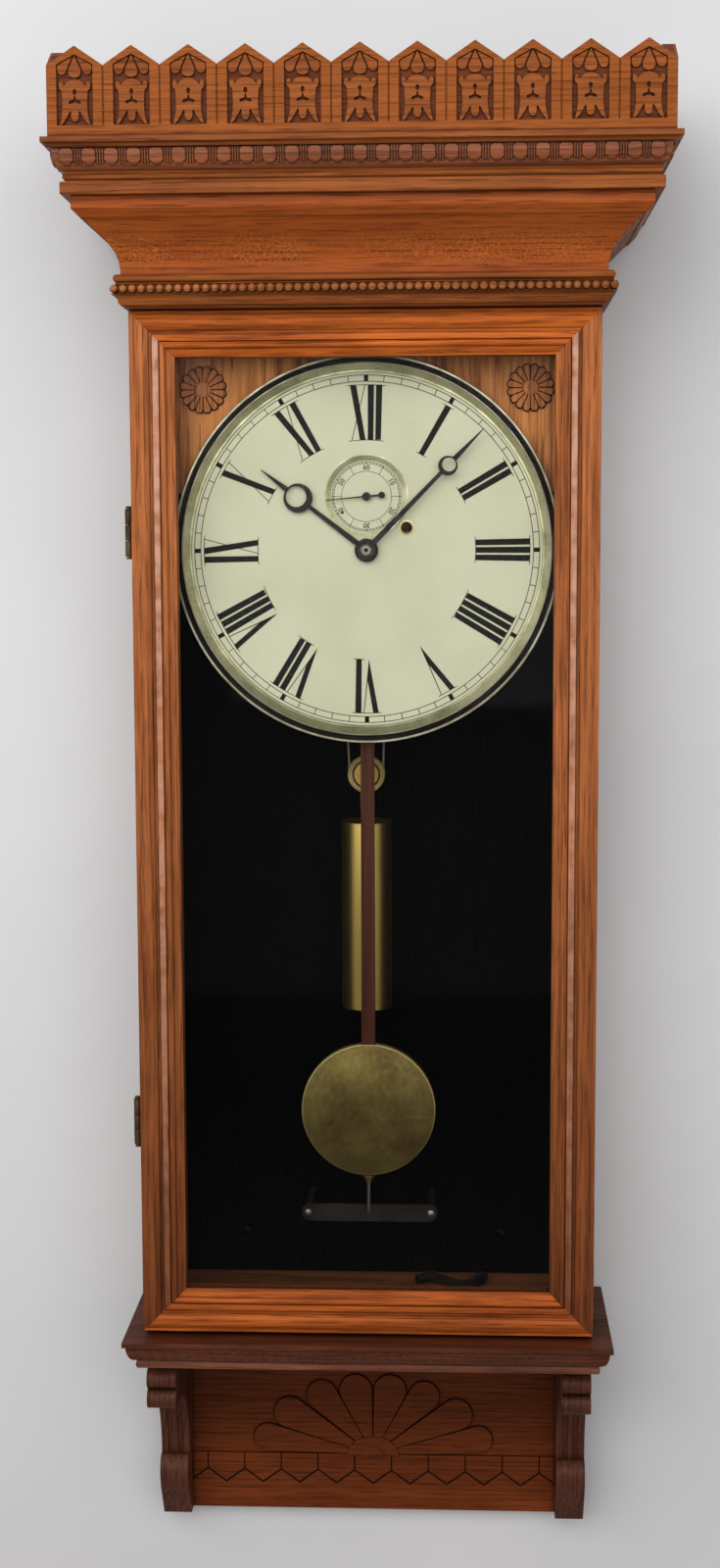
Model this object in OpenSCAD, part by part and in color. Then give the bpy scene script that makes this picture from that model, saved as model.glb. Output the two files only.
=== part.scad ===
// Wall regulator clock in an oak case, driven by a weight and timed by a seconds-dial pendulum.
// Millimetres, +X to the right, +Y into the wall, +Z up.
// The origin is the centre of the hanging hole, on the wall.
// Names ending in _up or _down are heights over or under the dial centre.
// Depths count outwards from the wall.

/* [Case] */
// Width over the case sides
case_w = 400; // [385:1:430]
// Depth from the wall to the front edges of the sides
case_d = 119; // [118:1:135]
// Thickness of each case side
side_t = 16; // [12:1:18]
// Thickness of the back board
back_t = 14; // [12:1:16]
// Height of the hanging hole over the dial centre
hang_up = 270; // [255:1:272]
// Height of the crown's foot over the dial centre
foot_up = 202.7; // [192:0.1:215]
// Drop from the dial centre to the top of the shelf
shelf_down = 695.7; // [685:0.1:720]
// Thickness of the board over the case
top_t = 12; // [8:1:16]
// Thickness of the case floor
floor_t = 17.2; // [10:0.1:20]
// Thickness of the spandrel board behind the dial
spandrel_t = 8; // [5:0.5:10]
// Radius of the arch cut in the spandrel board
arch_r = 140; // [136:1:146]
// Height of the spandrel board's lower edge
spandrel_up = 50; // [40:1:60]
// Radius of a corner rosette
rosette_r = 20.6; // [16:0.1:22]
// Gap between a rosette and the hoop round the dial
rosette_gap = 10; // [4:0.5:12]
// Angle of a rosette over the dial's level line
rosette_angle = 44.4; // [42:0.1:47]
// Height that a rosette stands on its board
rosette_t = 4; // [2:0.5:6]
// Petals round a rosette
petals = 16; // [12:1:18]

/* [Crown] */
// Step of the crown's foot before the door
crown_step = 9.1; // [6:0.1:14]
// Thickness of the crown's front board
core_t = 14; // [10:1:18]
// Height of the bead moulding
bead_h = 27; // [27:0.1:32]
// Reach of the cove moulding at its top
cove_reach = 38.5; // [36:0.1:42]
// Height from the crown's foot to the underside of the band
band_h = 86.1; // [86:0.1:96]
// Thickness of the band
band_t = 10.2; // [8:0.1:14]
// Reach of the band before the crown's foot
band_reach = 46; // [44:0.5:50]
// Height of the egg moulding
egg_h = 33.2; // [33:0.1:38]
// Reach of the egg moulding's lip
lip_reach = 58.9; // [57:0.1:64]
// Thickness of the crown's cap board
cap_t = 12; // [8:1:18]

/* [Crest fence] */
// Reach of the fence before the crown's foot
fence_reach = 53.7; // [48:0.1:55]
// Thickness of the fence
fence_t = 11; // [8:0.5:14]
// Height of the fence to the points of its pickets
fence_h = 72; // [60:1:84]
// Drop from a point to the valley beside it
gable_drop = 15.5; // [10:0.5:20]
// Pickets across the front
pickets = 11; // [7:2:15]
// Width of the sunk panel in a picket
panel_w = 29.4; // [20:0.1:30]
// Depth of the sunk panel
panel_sink = 3; // [1:0.5:5]
// Height of the rail left under the panels
panel_foot = 9.4; // [6:0.2:14]

/* [Shelf, brackets and apron] */
// Depth of the shelf's body, before its nose
shelf_d = 143.4; // [139:0.1:155]
// Thickness of the shelf board
shelf_t = 19.4; // [14:0.1:24]
// Reach of the shelf's nose
shelf_reach = 16.7; // [15:0.1:22]
// Thickness of the board under the shelf
under_t = 7.8; // [6:0.1:10]
// Reach of the board under the shelf
under_reach = 5.8; // [4:0.1:8]
// Thickness of a bracket
bracket_t = 26.5; // [20:0.5:32]
// Set-in of a bracket's outer face from the case side
bracket_in = 0.5; // [0:0.5:10]
// Depth of a bracket's scrolls
scroll_d = 130; // [115:1:134]
// Radius of a scroll
scroll_r = 9.3; // [8:0.1:10]
// Height of a bracket's square head over its scrolls
head_h = 10.2; // [8:0.1:14]
// Height of the brackets and the apron
apron_h = 190; // [180:0.1:210]
// Thickness of the apron's ground
apron_t = 16; // [12:0.5:20]
// Height of the apron's relief
relief_t = 3; // [1:0.5:4]
// Pitch of the pendants on the apron
pendant_pitch = 35.2; // [30:0.1:40]

/* [Door] */
// Thickness of the door
door_t = 22; // [22:0.5:26]
// Gap between the door and the case sides
door_gap = 0.6; // [0.4:0.1:1.2]
// Gap over the door
door_top_gap = 1; // [0.6:0.1:2]
// Gap under the door
door_foot_gap = 4; // [2:0.5:6]
// Width of the door's frame
stile_w = 38.5; // [38:0.1:42]
// Thickness of the glass
glass_t = 3; // [2:0.5:4]
// Depth of the lip before the glass
lip_d = 8; // [7:0.5:9]
// Width of the rebate for the glass
rebate_w = 8.5; // [7:0.1:9]
// Depth of the glazing beads
glaze_d = 9; // [6:0.5:10]
// Height of a hinge
hinge_h = 41; // [35:1:50]
// Distance of a hinge from the end of the door
hinge_in = 186; // [150:1:220]
// Distance of the hinge axis from the case side
hinge_out = 5; // [4.5:0.1:7]
// Radius of a hinge knuckle
knuckle_r = 3.5; // [3:0.1:4]
// Radius of a hinge pin
hinge_pin_r = 1.5; // [1:0.1:1.8]
// Drop of the door catch under the dial centre
catch_down = 247; // [200:1:300]

/* [Hanging] */
// Radius of the hanging hole
hang_r = 5; // [3:0.5:7]
// Width of the hanger plate
hanger_w = 60; // [40:1:80]
// Height of the hanger plate
hanger_h = 36; // [30:1:36]
// Thickness of the hanger plate
hanger_t = 3; // [2:0.5:4]
// Radius of the two steadying screw holes
steady_r = 2.5; // [2:0.5:4]
// Distance between the steadying screw holes
steady_w = 240; // [200:1:300]
// Height of the steadying screw holes over the top of the shelf
steady_over = 55.7; // [36:0.1:90]

/* [Dial] */
// Radius of the cream dial
dial_r = 152.4; // [150:0.1:154]
// Thickness of the dial plate
dial_t = 1.6; // [1:0.1:2]
// Width of the silvered bevel
bevel_w = 9.1; // [7:0.1:11]
// Width of the dark hoop
hoop_w = 6.2; // [5:0.1:8]
// Distance of the dial's back from the front plate
dial_stand = 22.4; // [22:0.1:26]
// Height of the seconds arbor over the dial centre
sec_up = 46.4; // [46:0.1:46.8]
// Outer radius of the seconds ring
sec_r = 36.4; // [34:0.1:38]
// Width of the seconds ring
sec_ring_w = 5.2; // [4:0.1:6]
// Depth that the seconds dial is sunk
sec_sink = 2.2; // [1.5:0.1:2.4]
// Distance of the winding arbor from the centre line
wind_x = 34.8; // [34.5:0.1:35.2]
// Height of the winding arbor over the dial centre
wind_up = 19.4; // [19.2:0.1:19.8]
// Radius of the winding hole
wind_r = 5.1; // [4.6:0.1:6]

/* [Hands] */
// Length of the hour hand
hour_len = 115; // [100:1:120]
// Distance of the hour hand's moon from the hub
hour_moon_len = 74.5; // [60:0.1:80]
// Radius of the hour hand's moon
hour_moon_r = 12.6; // [10:0.1:14]
// Thinnest rim of the hour hand's moon
hour_rim = 1.7; // [1:0.1:2.5]
// Shift of the hole in the hour hand's moon towards the tip
hour_shift = 2; // [0:0.1:3]
// Length of the minute hand
minute_len = 145.3; // [130:0.1:148]
// Distance of the minute hand's moon from the hub
minute_moon_len = 100.9; // [80:0.1:110]
// Radius of the minute hand's moon
minute_moon_r = 8.5; // [6:0.1:10]
// Thinnest rim of the minute hand's moon
minute_rim = 1.2; // [0.8:0.1:2]
// Shift of the hole in the minute hand's moon towards the tip
minute_shift = 1.4; // [0:0.1:2]
// Length of the second hand
second_len = 34.8; // [30:0.1:35]
// Length of the second hand's tail
second_tail = 13.2; // [10:0.1:16]
// Thickness of a hand
hand_t = 1; // [0.6:0.1:1.4]
// Angle of the hour hand, clockwise from the top
hour_at = 307.3; // [0:0.1:360]
// Angle of the minute hand, clockwise from the top
minute_at = 44.4; // [0:0.1:360]
// Angle of the second hand, clockwise from the top
second_at = 265; // [0:1:360]

/* [Movement] */
// Thickness of the seat plate
seat_t = 4; // [3:0.5:6]
// Half width of the seat plate
seat_x = 48; // [44:1:56]
// Height of the seat plate's top over the dial centre
seat_up = 80; // [76:1:86]
// Drop of the seat plate's foot under the dial centre
seat_down = 44; // [42:1:52]
// Length of the posts between the seat and the back plate
seat_post = 14; // [12:1:16]
// Thickness of a movement plate
plate_t = 2.5; // [2:0.5:3]
// Distance between the movement plates
plate_gap = 43; // [43:1:46]
// Half width of a movement plate
plate_x = 62; // [60:1:68]
// Height of the plates' top over the dial centre
plate_up = 92; // [90:1:98]
// Drop of the plates' foot under the dial centre
plate_down = 58; // [56:1:66]
// Height of the pallet arbor over the dial centre
pallet_up = 70; // [69.5:0.1:70.5]
// Radial clearance of a running arbor
run_gap = 0.05; // [0.03:0.01:0.08]
// Module of the going train
train_m = 0.7; // [0.69:0.01:0.7]
// Module of the second wheel
second_m = 0.75; // [0.74:0.01:0.76]
// Module of the hour wheel
hour_m = 0.672; // [0.67:0.001:0.674]
// Teeth of the great wheel
great_n = 72; // [70:1:74]
// Radius of the winding drum
drum_r = 14.9; // [13:0.1:15]
// Length of the winding drum
drum_l = 18; // [14:1:18]
// Radius of the escape wheel
escape_r = 18; // [16:0.5:18]

/* [Pendulum and weight] */
// Distance of the pendulum's middle from the front plate
pend_stand = 14; // [13:0.5:15]
// Width of the pendulum rod
rod_w = 12; // [8:0.5:14]
// Thickness of the pendulum rod
rod_t = 8; // [5:0.5:9]
// Half width inside the leader's loop
loop_x = 13.5; // [12:0.1:15]
// Radius of the bob
bob_r = 60; // [50:0.1:66]
// Thickness of the bob
bob_t = 20; // [16:1:22]
// Drop of the bob's centre under the dial centre
bob_down = 499.5; // [490:0.5:520]
// Radius of the rating thread
thread_r = 1.6; // [1.2:0.1:2]
// Radius of the weight
weight_r = 22.5; // [18:0.5:24]
// Height of the weight
weight_h = 172; // [120:1:200]
// Drop of the pulley's axle under the dial centre
pulley_down = 201; // [190:1:230]
// Distance of the weight's top from the pulley's axle
weight_drop = 42; // [36:1:60]
// Width of the weight's stirrup
stirrup_w = 10; // [6:1:12]
// Thickness of the weight's stirrup
stirrup_t = 1.5; // [1:0.1:2]
// Radius of the cord's line round the pulley
pulley_r = 15; // [12:0.5:17]
// Radius of the cord
cord_r = 0.9; // [0.6:0.1:1]
// Length of the beat scale
scale_l = 123; // [100:1:140]
// Height of the beat scale
scale_h = 16; // [12:1:20]
// Drop of the beat scale under the dial centre
scale_down = 599.6; // [590:0.5:620]
// Radius of the winding key's grip
grip_r = 5; // [4:0.5:6]

/* [Hidden] */
$fn = 64;
// A small gap between pieces that must not touch
clear = 0.3;
// Overshoot of a cut
cut = 1;

// Case levels
half_w = case_w / 2;
in_x = half_w - side_t;
bracket_x = half_w - bracket_in;
door_front = case_d + door_gap + door_t;
foot_d = door_front + crown_step;
band_up = foot_up + band_h;
egg_up = band_up + band_t;
crest_up = egg_up + egg_h;
floor_up = -shelf_down + floor_t;
under_up = -shelf_down - shelf_t;
apron_up = under_up - under_t;
apron_foot = apron_up - apron_h;
mitre = 90;

// Door levels
door_top = foot_up - door_top_gap;
door_foot = -shelf_down + door_foot_gap;
hinge_ups = [door_top - hinge_in, door_foot + hinge_in];
hinge_x = -half_w - hinge_out;
hinge_d = case_d + door_gap / 2;
leaf_t = 1.2;
leaf_w = 15;
mid_knuckle = 13;
knuckle_gap = 0.4;
catch_x = half_w - 23;
stud_r = 2.2;
stud_l = 15.6;
glass_d = door_front - lip_d - glass_t;

// Movement levels, out from the wall
seat_d = back_t + seat_t;
rear_d = seat_d + seat_post;
inner_d = rear_d + plate_t;
outer_d = inner_d + plate_gap;
front_d = outer_d + plate_t;
dial_back = front_d + dial_stand;
dial_front = dial_back + dial_t;
flange_t = 2;
board_d = dial_back - flange_t - 2.4;
drum_inset = 16.5;
third_inset = 21.5;
drum_d = inner_d + drum_inset;
cord_d = drum_d;
centre_wheel_d = inner_d + 2;
third_wheel_d = inner_d + third_inset;
great_wheel_d = drum_d + drum_l / 2 + 4.5;
escape_wheel_d = great_wheel_d + 5.5;
second_wheel_d = escape_wheel_d + 2;
wheel_t = 2;
pend_d = front_d + pend_stand;
leader_t = 4;
second_hand_d = dial_front + 0.4;
hour_hand_d = dial_front + 3;
minute_hand_d = hour_hand_d + 4;
hoop_r = dial_r + bevel_w;
rosette_reach = hoop_r + hoop_w + rosette_gap + rosette_r;
rosette_at = rosette_reach * [cos(rosette_angle), sin(rosette_angle)];
hoop_front = dial_front + 6.4;

// Teeth
second_n = 60;
second_pinion = 12;
centre_n = 64;
centre_pinion = 10;
third_n = 60;
third_pinion = 8;
escape_n = 40;
escape_pinion = 8;
cannon_n = 12;
motion_n = 36;
motion_pinion = 10;
hour_n = 40;
addendum = 0.8;
dedendum = 1.15;
tooth_tip = 0.11;
tooth_root = 0.29;
spokes = 5;

// Arbor places, from the circles on which the wheels mesh
function meet(a, b, ra, rb, side) =
    let (d = norm(b - a), k = (ra * ra - rb * rb + d * d) / (2 * d), h = sqrt(ra * ra - k * k),
        e = (b - a) / d)
    a + k * e + side * h * [e.y, -e.x];
centre_at = [0, 0];
great_at = [wind_x, wind_up];
escape_at = [0, sec_up];
pallet_at = [0, pallet_up];
second_at_xy = meet(centre_at, great_at, (second_n + centre_pinion) * second_m / 2,
    (great_n + second_pinion) * train_m / 2, 1);
third_at = meet(centre_at, escape_at, (centre_n + third_pinion) * train_m / 2,
    (third_n + escape_pinion) * train_m / 2, -1);
motion_dist = (cannon_n + motion_n) * train_m / 2;
motion_angle = 200;
motion_at = motion_dist * [cos(motion_angle), sin(motion_angle)];
centre_arbor_r = 1.8;
arbor_r = 1.5;
wind_arbor_r = 3;
second_arbor_r = 1.2;
pipe_r = 4;

// Turn of a wheel whose teeth fall into the gaps of its neighbour
function angle_to(a, b) = atan2(b.y - a.y, b.x - a.x);
function meshed(turn, n, next_n, line) =
    line + 180 + ((line - turn) * n / 360 - 0.5) * 360 / next_n;
centre_turn = 0;
third_pinion_turn = meshed(centre_turn, centre_n, third_pinion, angle_to(centre_at, third_at));
escape_pinion_turn = meshed(third_pinion_turn, third_n, escape_pinion,
    angle_to(third_at, escape_at));
second_turn = meshed(centre_turn, centre_pinion, second_n, angle_to(centre_at, second_at_xy));
great_turn = meshed(second_turn, second_pinion, great_n, angle_to(second_at_xy, great_at));
motion_turn = meshed(centre_turn, cannon_n, motion_n, motion_angle);
hour_turn = meshed(motion_turn, motion_pinion, hour_n, motion_angle + 180);

// Pendulum
pin_r = 1;
chop_h = 3.5;
cheek_gap = 6;
cheek_t = 2;
loop_bar = 3.5;
loop_top = pallet_up - 9.5;
loop_foot = -26;
ferrule_up = loop_foot - 34;
rod_foot = -(bob_down + bob_r - 16.6);
crutch_up = pallet_up - 14;
crutch_pin_r = 1;
nut_up = -bob_down - bob_r - clear;
nut_r = 5.5;
nut_h = 7;
thread_foot = nut_up - nut_h - 28;

// Weight and cord
cord_line_r = drum_r + cord_r + 0.2;
pulley_x = -3;
pulley_at = [pulley_x, -pulley_down];
pulley_rim = pulley_r + 2;
pulley_t = 8;
axle_r = 1.5;
stirrup_foot = 11;
stirrup_over = 5;
weight_top = -pulley_down - weight_drop;
post_at = [-26, -42];
post_r = 2.5;
cord_end = post_at - [0, post_r + 0.2];
drum_leave = [wind_x - cord_line_r, wind_up];

function arc(c, r, from, to, steps = 8) =
    [for (i = [0:steps]) let (a = from + (to - from) * i / steps) c + r * [cos(a), sin(a)]];
function oval(c, rx, ry, from, to, steps = 8) =
    [for (i = [0:steps]) let (a = from + (to - from) * i / steps) c + [rx * cos(a), ry * sin(a)]];
// A round swelling of height s over the line from u0 to u1
function swell(u0, u1, h, s, steps = 8) =
    let (w = (u1 - u0) / 2, r = (w * w + s * s) / (2 * s), half = s >= w ? 90 : asin(w / r))
    arc([(u0 + u1) / 2, h - s + r], r, 270 - half, 270 + half, steps);

oak = [0.62, 0.33, 0.13];
dark_oak = [0.36, 0.17, 0.08];
brass = [0.72, 0.58, 0.28];
steel = [0.55, 0.56, 0.58];
black = [0.06, 0.06, 0.06];
cream = [0.88, 0.82, 0.66];
silver = [0.66, 0.68, 0.60];

module at_dial() translate([0, 0, -hang_up]) children();
module box(x0, x1, d0, d1, z0, z1) translate([x0, -d1, z0]) cube([x1 - x0, d1 - d0, z1 - z0]);
module slab(d0, d1) translate([0, -d0, 0]) rotate([90, 0, 0]) linear_extrude(d1 - d0) children();
module rod(p, r, d0, d1) translate([p.x, -d0, p.y]) rotate([90, 0, 0]) cylinder(r = r, h = d1 - d0);
module turned() rotate([90, 0, 0]) rotate_extrude() children();
module both() { children(); mirror([1, 0, 0]) children(); }

// A moulding round the front and both ends, mitred at the corners. Its points are reach and height.
module wrapped(points, w0, d0) {
    intersection() {
        rotate([90, 0, 90]) linear_extrude(2 * (w0 + mitre), center = true)
            polygon([for (p = points) [-(d0 + p.x), p.y]]);
        translate([0, 0, -shelf_down - 2 * mitre]) linear_extrude(shelf_down + 7 * mitre)
            polygon([[-(w0 - mitre), mitre - d0], [w0 - mitre, mitre - d0],
                [w0 + mitre, -mitre - d0], [-(w0 + mitre), -mitre - d0]]);
    }
    both() intersection() {
        rotate([90, 0, 0]) linear_extrude(d0 + mitre) polygon([for (p = points) [w0 + p.x, p.y]]);
        translate([0, 0, -shelf_down - 2 * mitre]) linear_extrude(shelf_down + 7 * mitre)
            polygon([[w0 - mitre, mitre - d0], [w0 + mitre, -mitre - d0], [w0 + mitre, 0],
                [w0 - mitre, 0]]);
    }
}

// Case

module back_board() color(dark_oak) at_dial() difference() {
    box(-in_x, in_x, 0, back_t, -shelf_down, band_up);
    box(-hanger_w / 2, hanger_w / 2, -cut, hanger_t, hang_up - hanger_h / 2, hang_up + hanger_h / 2);
    box(-2 * hang_r, 2 * hang_r, 0, back_t - 3, hang_up - 2 * hang_r, hang_up + 3 * hang_r);
    for (s = [-1, 1]) rod([s * steady_w / 2, steady_over - shelf_down], steady_r, -cut,
        back_t + cut);
}

module case_side() box(in_x, half_w, 0, case_d, -shelf_down, foot_up);
module side_left() color(oak) at_dial() difference() {
    mirror([1, 0, 0]) case_side();
    for (z = hinge_ups)
        box(-half_w - cut, -half_w + leaf_w, case_d - leaf_t, case_d + cut,
            z - hinge_h / 2, z + hinge_h / 2);
}
module side_right() color(oak) at_dial() case_side();

module case_top() color(oak) at_dial() difference() {
    box(-half_w, half_w, 0, foot_d, foot_up, foot_up + top_t);
    box(-in_x, in_x, -cut, back_t, foot_up - cut, foot_up + top_t + cut);
}

module case_floor() color(oak) at_dial() box(-in_x, in_x, back_t, case_d, -shelf_down, floor_up);

module dial_board() color(oak) at_dial() difference() {
    box(-in_x, in_x, board_d - spandrel_t, board_d, spandrel_up, foot_up);
    rod(centre_at, arch_r, board_d - spandrel_t - cut, board_d + cut);
}

module corner_rosettes() color(oak) at_dial() both() translate([rosette_at[0], 0, rosette_at[1]]) {
    petal_r = rosette_r * sin(180 / petals) / (1 + sin(180 / petals)) * 1.04;
    difference() {
        slab(board_d, board_d + rosette_t - 1) {
            circle(rosette_r - petal_r);
            for (i = [0:petals - 1]) rotate(i * 360 / petals)
                translate([rosette_r - petal_r, 0]) circle(petal_r);
        }
        turned() polygon([[7, board_d + rosette_t], [10, board_d + 1.6], [14, board_d + 1.6],
            [17, board_d + rosette_t]]);
    }
    turned() polygon(concat([[0, board_d + 1]], [[6.6, board_d + 1]],
        oval([0, board_d + 2], 6.6, rosette_t - 2 + 1, 0, 90)));
}

module crown_core() color(oak) at_dial() difference() {
    box(-half_w, half_w, 0, foot_d, foot_up + top_t, band_up);
    box(-in_x, in_x, -cut, foot_d - core_t, foot_up + top_t - cut, band_up + cut);
}

module crown_boards() color(oak) at_dial() {
    box(-half_w - band_reach, half_w + band_reach, 0, foot_d + band_reach, band_up, egg_up);
    box(-half_w - 32, half_w + 32, 0, foot_d + 32, crest_up - cap_t, crest_up);
}

module bead_moulding() color(oak) at_dial() translate([0, 0, foot_up])
    wrapped(concat([[0, 0], [0.8, 0], [1.4, 1.6]], arc([1.4, 5.4], 4.4, -60, 0, 4),
        arc([10.4, 5.8], 4.6, 180, 100, 4), [[10.3, 10.5]], arc([9.2, 14.8], 3.8, -80, 80),
        [[6, 19.6]], arc([6, 23.6], 3.4, -90, 90), [[0, bead_h]]), half_w, foot_d);

cove_r = 34;
cove_run = cove_reach - 3.7 - cove_r * (1 - cos(45));
module cove_moulding() color(oak) at_dial() translate([0, 0, foot_up])
    wrapped(concat([[0, bead_h], [3.7, bead_h]],
        arc([3.7 + cove_r, bead_h + 2], cove_r, 180, 135),
        [[cove_reach, bead_h + 2 + cove_r * sin(45) + cove_run], [cove_reach, band_h],
        [cove_reach - 16, band_h], [0, band_h - 30]]), half_w, foot_d);

module egg_moulding() color(oak) at_dial() translate([0, 0, egg_up])
    wrapped(concat([[32, 0], [42, 0], [42, 1.2]], arc([41.2, 3.8], 2.6, -70, 70, 6),
        oval([43.1, 21.3], 10.9, 14.8, -90, 0), [[54.5, 22.6], [54.9, 24]],
        arc([lip_reach + 0.6, 23.6], 5.5, 176, 98, 5), [[lip_reach, 29.1], [lip_reach, egg_h],
        [32, egg_h]]), half_w, foot_d);

fence_w = half_w + fence_reach;
fence_front = foot_d + fence_reach;
pitch = 2 * fence_w / pickets;
function picket_tops(n) =
    [for (i = [0:2 * n]) [i * pitch / 2, i % 2 == 1 ? fence_h : fence_h - gable_drop]];
// A run of pickets from the corner at 0, with sunk gabled panels and grooves between
module picket_run(n, length) intersection() {
    difference() {
        linear_extrude(fence_t) polygon(concat([[0, 0]], picket_tops(n), [[n * pitch, 0]]));
        for (i = [0:n - 1]) translate([(i + 0.5) * pitch, 0, fence_t - panel_sink])
            linear_extrude(panel_sink + cut) polygon([[-panel_w / 2, panel_foot],
                [panel_w / 2, panel_foot], [panel_w / 2, fence_h - gable_drop + 0.8],
                [0, fence_h - gable_drop + 8.5], [-panel_w / 2, fence_h - gable_drop + 0.8]]);
        for (i = [1:n - 1]) translate([i * pitch - 0.6, panel_foot, fence_t - 1.2])
            cube([1.2, fence_h, 1.2 + cut]);
    }
    translate([0, -cut, -cut]) cube([length, fence_h + 2 * cut, fence_t + 2 * cut]);
}
module fence_side() intersection() {
    translate([fence_w - fence_t, -fence_front, crest_up]) rotate([90, 0, 90])
        picket_run(ceil(fence_front / pitch), fence_front);
    translate([0, 0, crest_up - cut]) linear_extrude(fence_h + 2 * cut)
        polygon([[fence_w, -fence_front], [fence_w + cut, 0], [fence_w - mitre, 0],
            [fence_w - mitre, mitre - fence_front]]);
}
module crest_fence() color(oak) at_dial() {
    intersection() {
        translate([-fence_w, fence_t - fence_front, crest_up]) rotate([90, 0, 0])
            picket_run(pickets, 2 * fence_w);
        translate([0, 0, crest_up - cut]) linear_extrude(fence_h + 2 * cut)
            polygon([[-fence_w, -fence_front], [fence_w, -fence_front],
                [fence_w - mitre, mitre - fence_front], [mitre - fence_w, mitre - fence_front]]);
    }
    both() fence_side();
}

// Shelf, brackets and apron

module base_shelf() color(oak) at_dial() translate([0, 0, -shelf_down]) {
    wrapped(concat([[0, 0], [shelf_reach, 0], [shelf_reach, -4.5], [shelf_reach - 2.9, -4.8]],
        oval([4.5, -4.8], shelf_reach - 7.4, shelf_t - 4.8, 0, -90), [[0, -shelf_t]]),
        half_w, shelf_d);
    box(-half_w, half_w, 0, shelf_d, -shelf_t, 0);
}

module shelf_underboard() color(oak) at_dial() translate([0, 0, under_up]) {
    wrapped(concat([[0, 0]], oval([under_reach - 2, -under_t / 2], 2, under_t / 2, 90, -90, 6),
        [[0, -under_t]]), half_w, shelf_d);
    box(-half_w, half_w, 0, shelf_d, -under_t, 0);
}

neck_d = 40;
neck_up = apron_foot + 64.5;
module bracket() translate([bracket_x - bracket_t, 0, 0]) rotate([90, 0, 90])
    linear_extrude(bracket_t) polygon([for (p = concat([[0, apron_up],
        [scroll_d - scroll_r - 3, apron_up], [scroll_d - scroll_r - 3, apron_up - head_h]],
        arc([scroll_d - scroll_r, apron_up - head_h - scroll_r], scroll_r, 90, -80),
        arc([scroll_d - scroll_r, apron_up - head_h - 3 * scroll_r], scroll_r, 80, -90),
        oval([scroll_d - 26, neck_up], scroll_d - 26 - neck_d,
            apron_up - head_h - 4 * scroll_r - neck_up, 90, 180, 10),
        [[neck_d + 6, neck_up], [neck_d + 11, neck_up - 3.7], [neck_d + 14, neck_up - 11.2],
        [neck_d + 14, neck_up - 18.7], [neck_d + 10.5, neck_up - 29.7], [30, apron_foot],
        [0, apron_foot]])) [-p.x, p.y]]);
module bracket_right() color(oak) at_dial() bracket();
module bracket_left() color(oak) at_dial() mirror([1, 0, 0]) bracket();

// A leaf that widens from the fan's centre to a round end, its end circle r at distance d
function leaf(d, r) = let (a = asin(r / d)) concat([[0, 0]], arc([d, 0], r, -90 - a, 90 + a, 12));
fan_ends = [[101.8, 13.1, 9.2], [89.2, 15.1, 27.3], [76.2, 14.4, 50.2], [65.8, 15.2, 75.6]];
fan_down = 135;
pendant_side = 15.4;
pendant_tip = 28;
apron_x = bracket_x - bracket_t;
fan_up = apron_up - fan_down;
pendants = floor(apron_x / pendant_pitch - 0.5);
module apron_panel() color(dark_oak) at_dial() {
    box(-apron_x, apron_x, 0, apron_t, apron_foot, apron_up);
    translate([0, 0, fan_up]) {
        both() slab(apron_t - cut, apron_t + relief_t) intersection() {
            for (e = fan_ends) rotate(e[2]) polygon(leaf(e[0], e[1]));
            translate([0.3, 0]) square([apron_x, fan_down]);
        }
        slab(apron_t - cut, apron_t + relief_t + 1)
            polygon(oval([0, 0], 24.8, 18.4, 0, 180, 16));
        for (i = [-pendants:pendants]) translate([i * pendant_pitch, 0, 0])
            slab(apron_t - cut, apron_t + relief_t - 0.5) let (w = pendant_pitch / 2 - 0.4)
                polygon([[-w, 0], [-w, -pendant_side], [0, -pendant_tip], [w, -pendant_side], [w, 0]]);
    }
}

module hanger_plate() color(steel) at_dial() difference() {
    box(-hanger_w / 2, hanger_w / 2, 0, hanger_t, hang_up - hanger_h / 2, hang_up + hanger_h / 2);
    rod([0, hang_up], hang_r, -cut, hanger_t + cut);
}

// Hinges

module leaf_plate(d0) box(hinge_x + knuckle_r + knuckle_gap, -half_w + leaf_w, d0, d0 + leaf_t,
    -hinge_h / 2, hinge_h / 2);
module knuckle(z0, z1, d0) {
    translate([hinge_x, -hinge_d, z0]) cylinder(r = knuckle_r, h = z1 - z0);
    box(hinge_x, hinge_x + knuckle_r + knuckle_gap + cut, d0, d0 + leaf_t, z0, z1);
}
module hinge_case_leaves() color(brass) at_dial() for (z = hinge_ups) translate([0, 0, z])
    difference() {
        union() {
            leaf_plate(case_d - leaf_t);
            for (s = [0, 1]) mirror([0, 0, s])
                knuckle(mid_knuckle / 2 + knuckle_gap, hinge_h / 2, case_d - leaf_t);
        }
        translate([hinge_x, -hinge_d, -hinge_h]) cylinder(r = hinge_pin_r + run_gap, h = 2 * hinge_h);
    }
module hinge_door_leaves() color(brass) at_dial() for (z = hinge_ups) translate([0, 0, z]) {
    leaf_plate(case_d + door_gap);
    knuckle(-mid_knuckle / 2, mid_knuckle / 2, case_d + door_gap);
    translate([hinge_x, -hinge_d, 0]) {
        translate([0, 0, -hinge_h / 2 - 1]) cylinder(r = hinge_pin_r, h = hinge_h + 2);
        for (s = [0, 1]) mirror([0, 0, s]) translate([0, 0, hinge_h / 2 + clear])
            cylinder(r = hinge_pin_r + 1.1, h = 2);
    }
}

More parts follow.
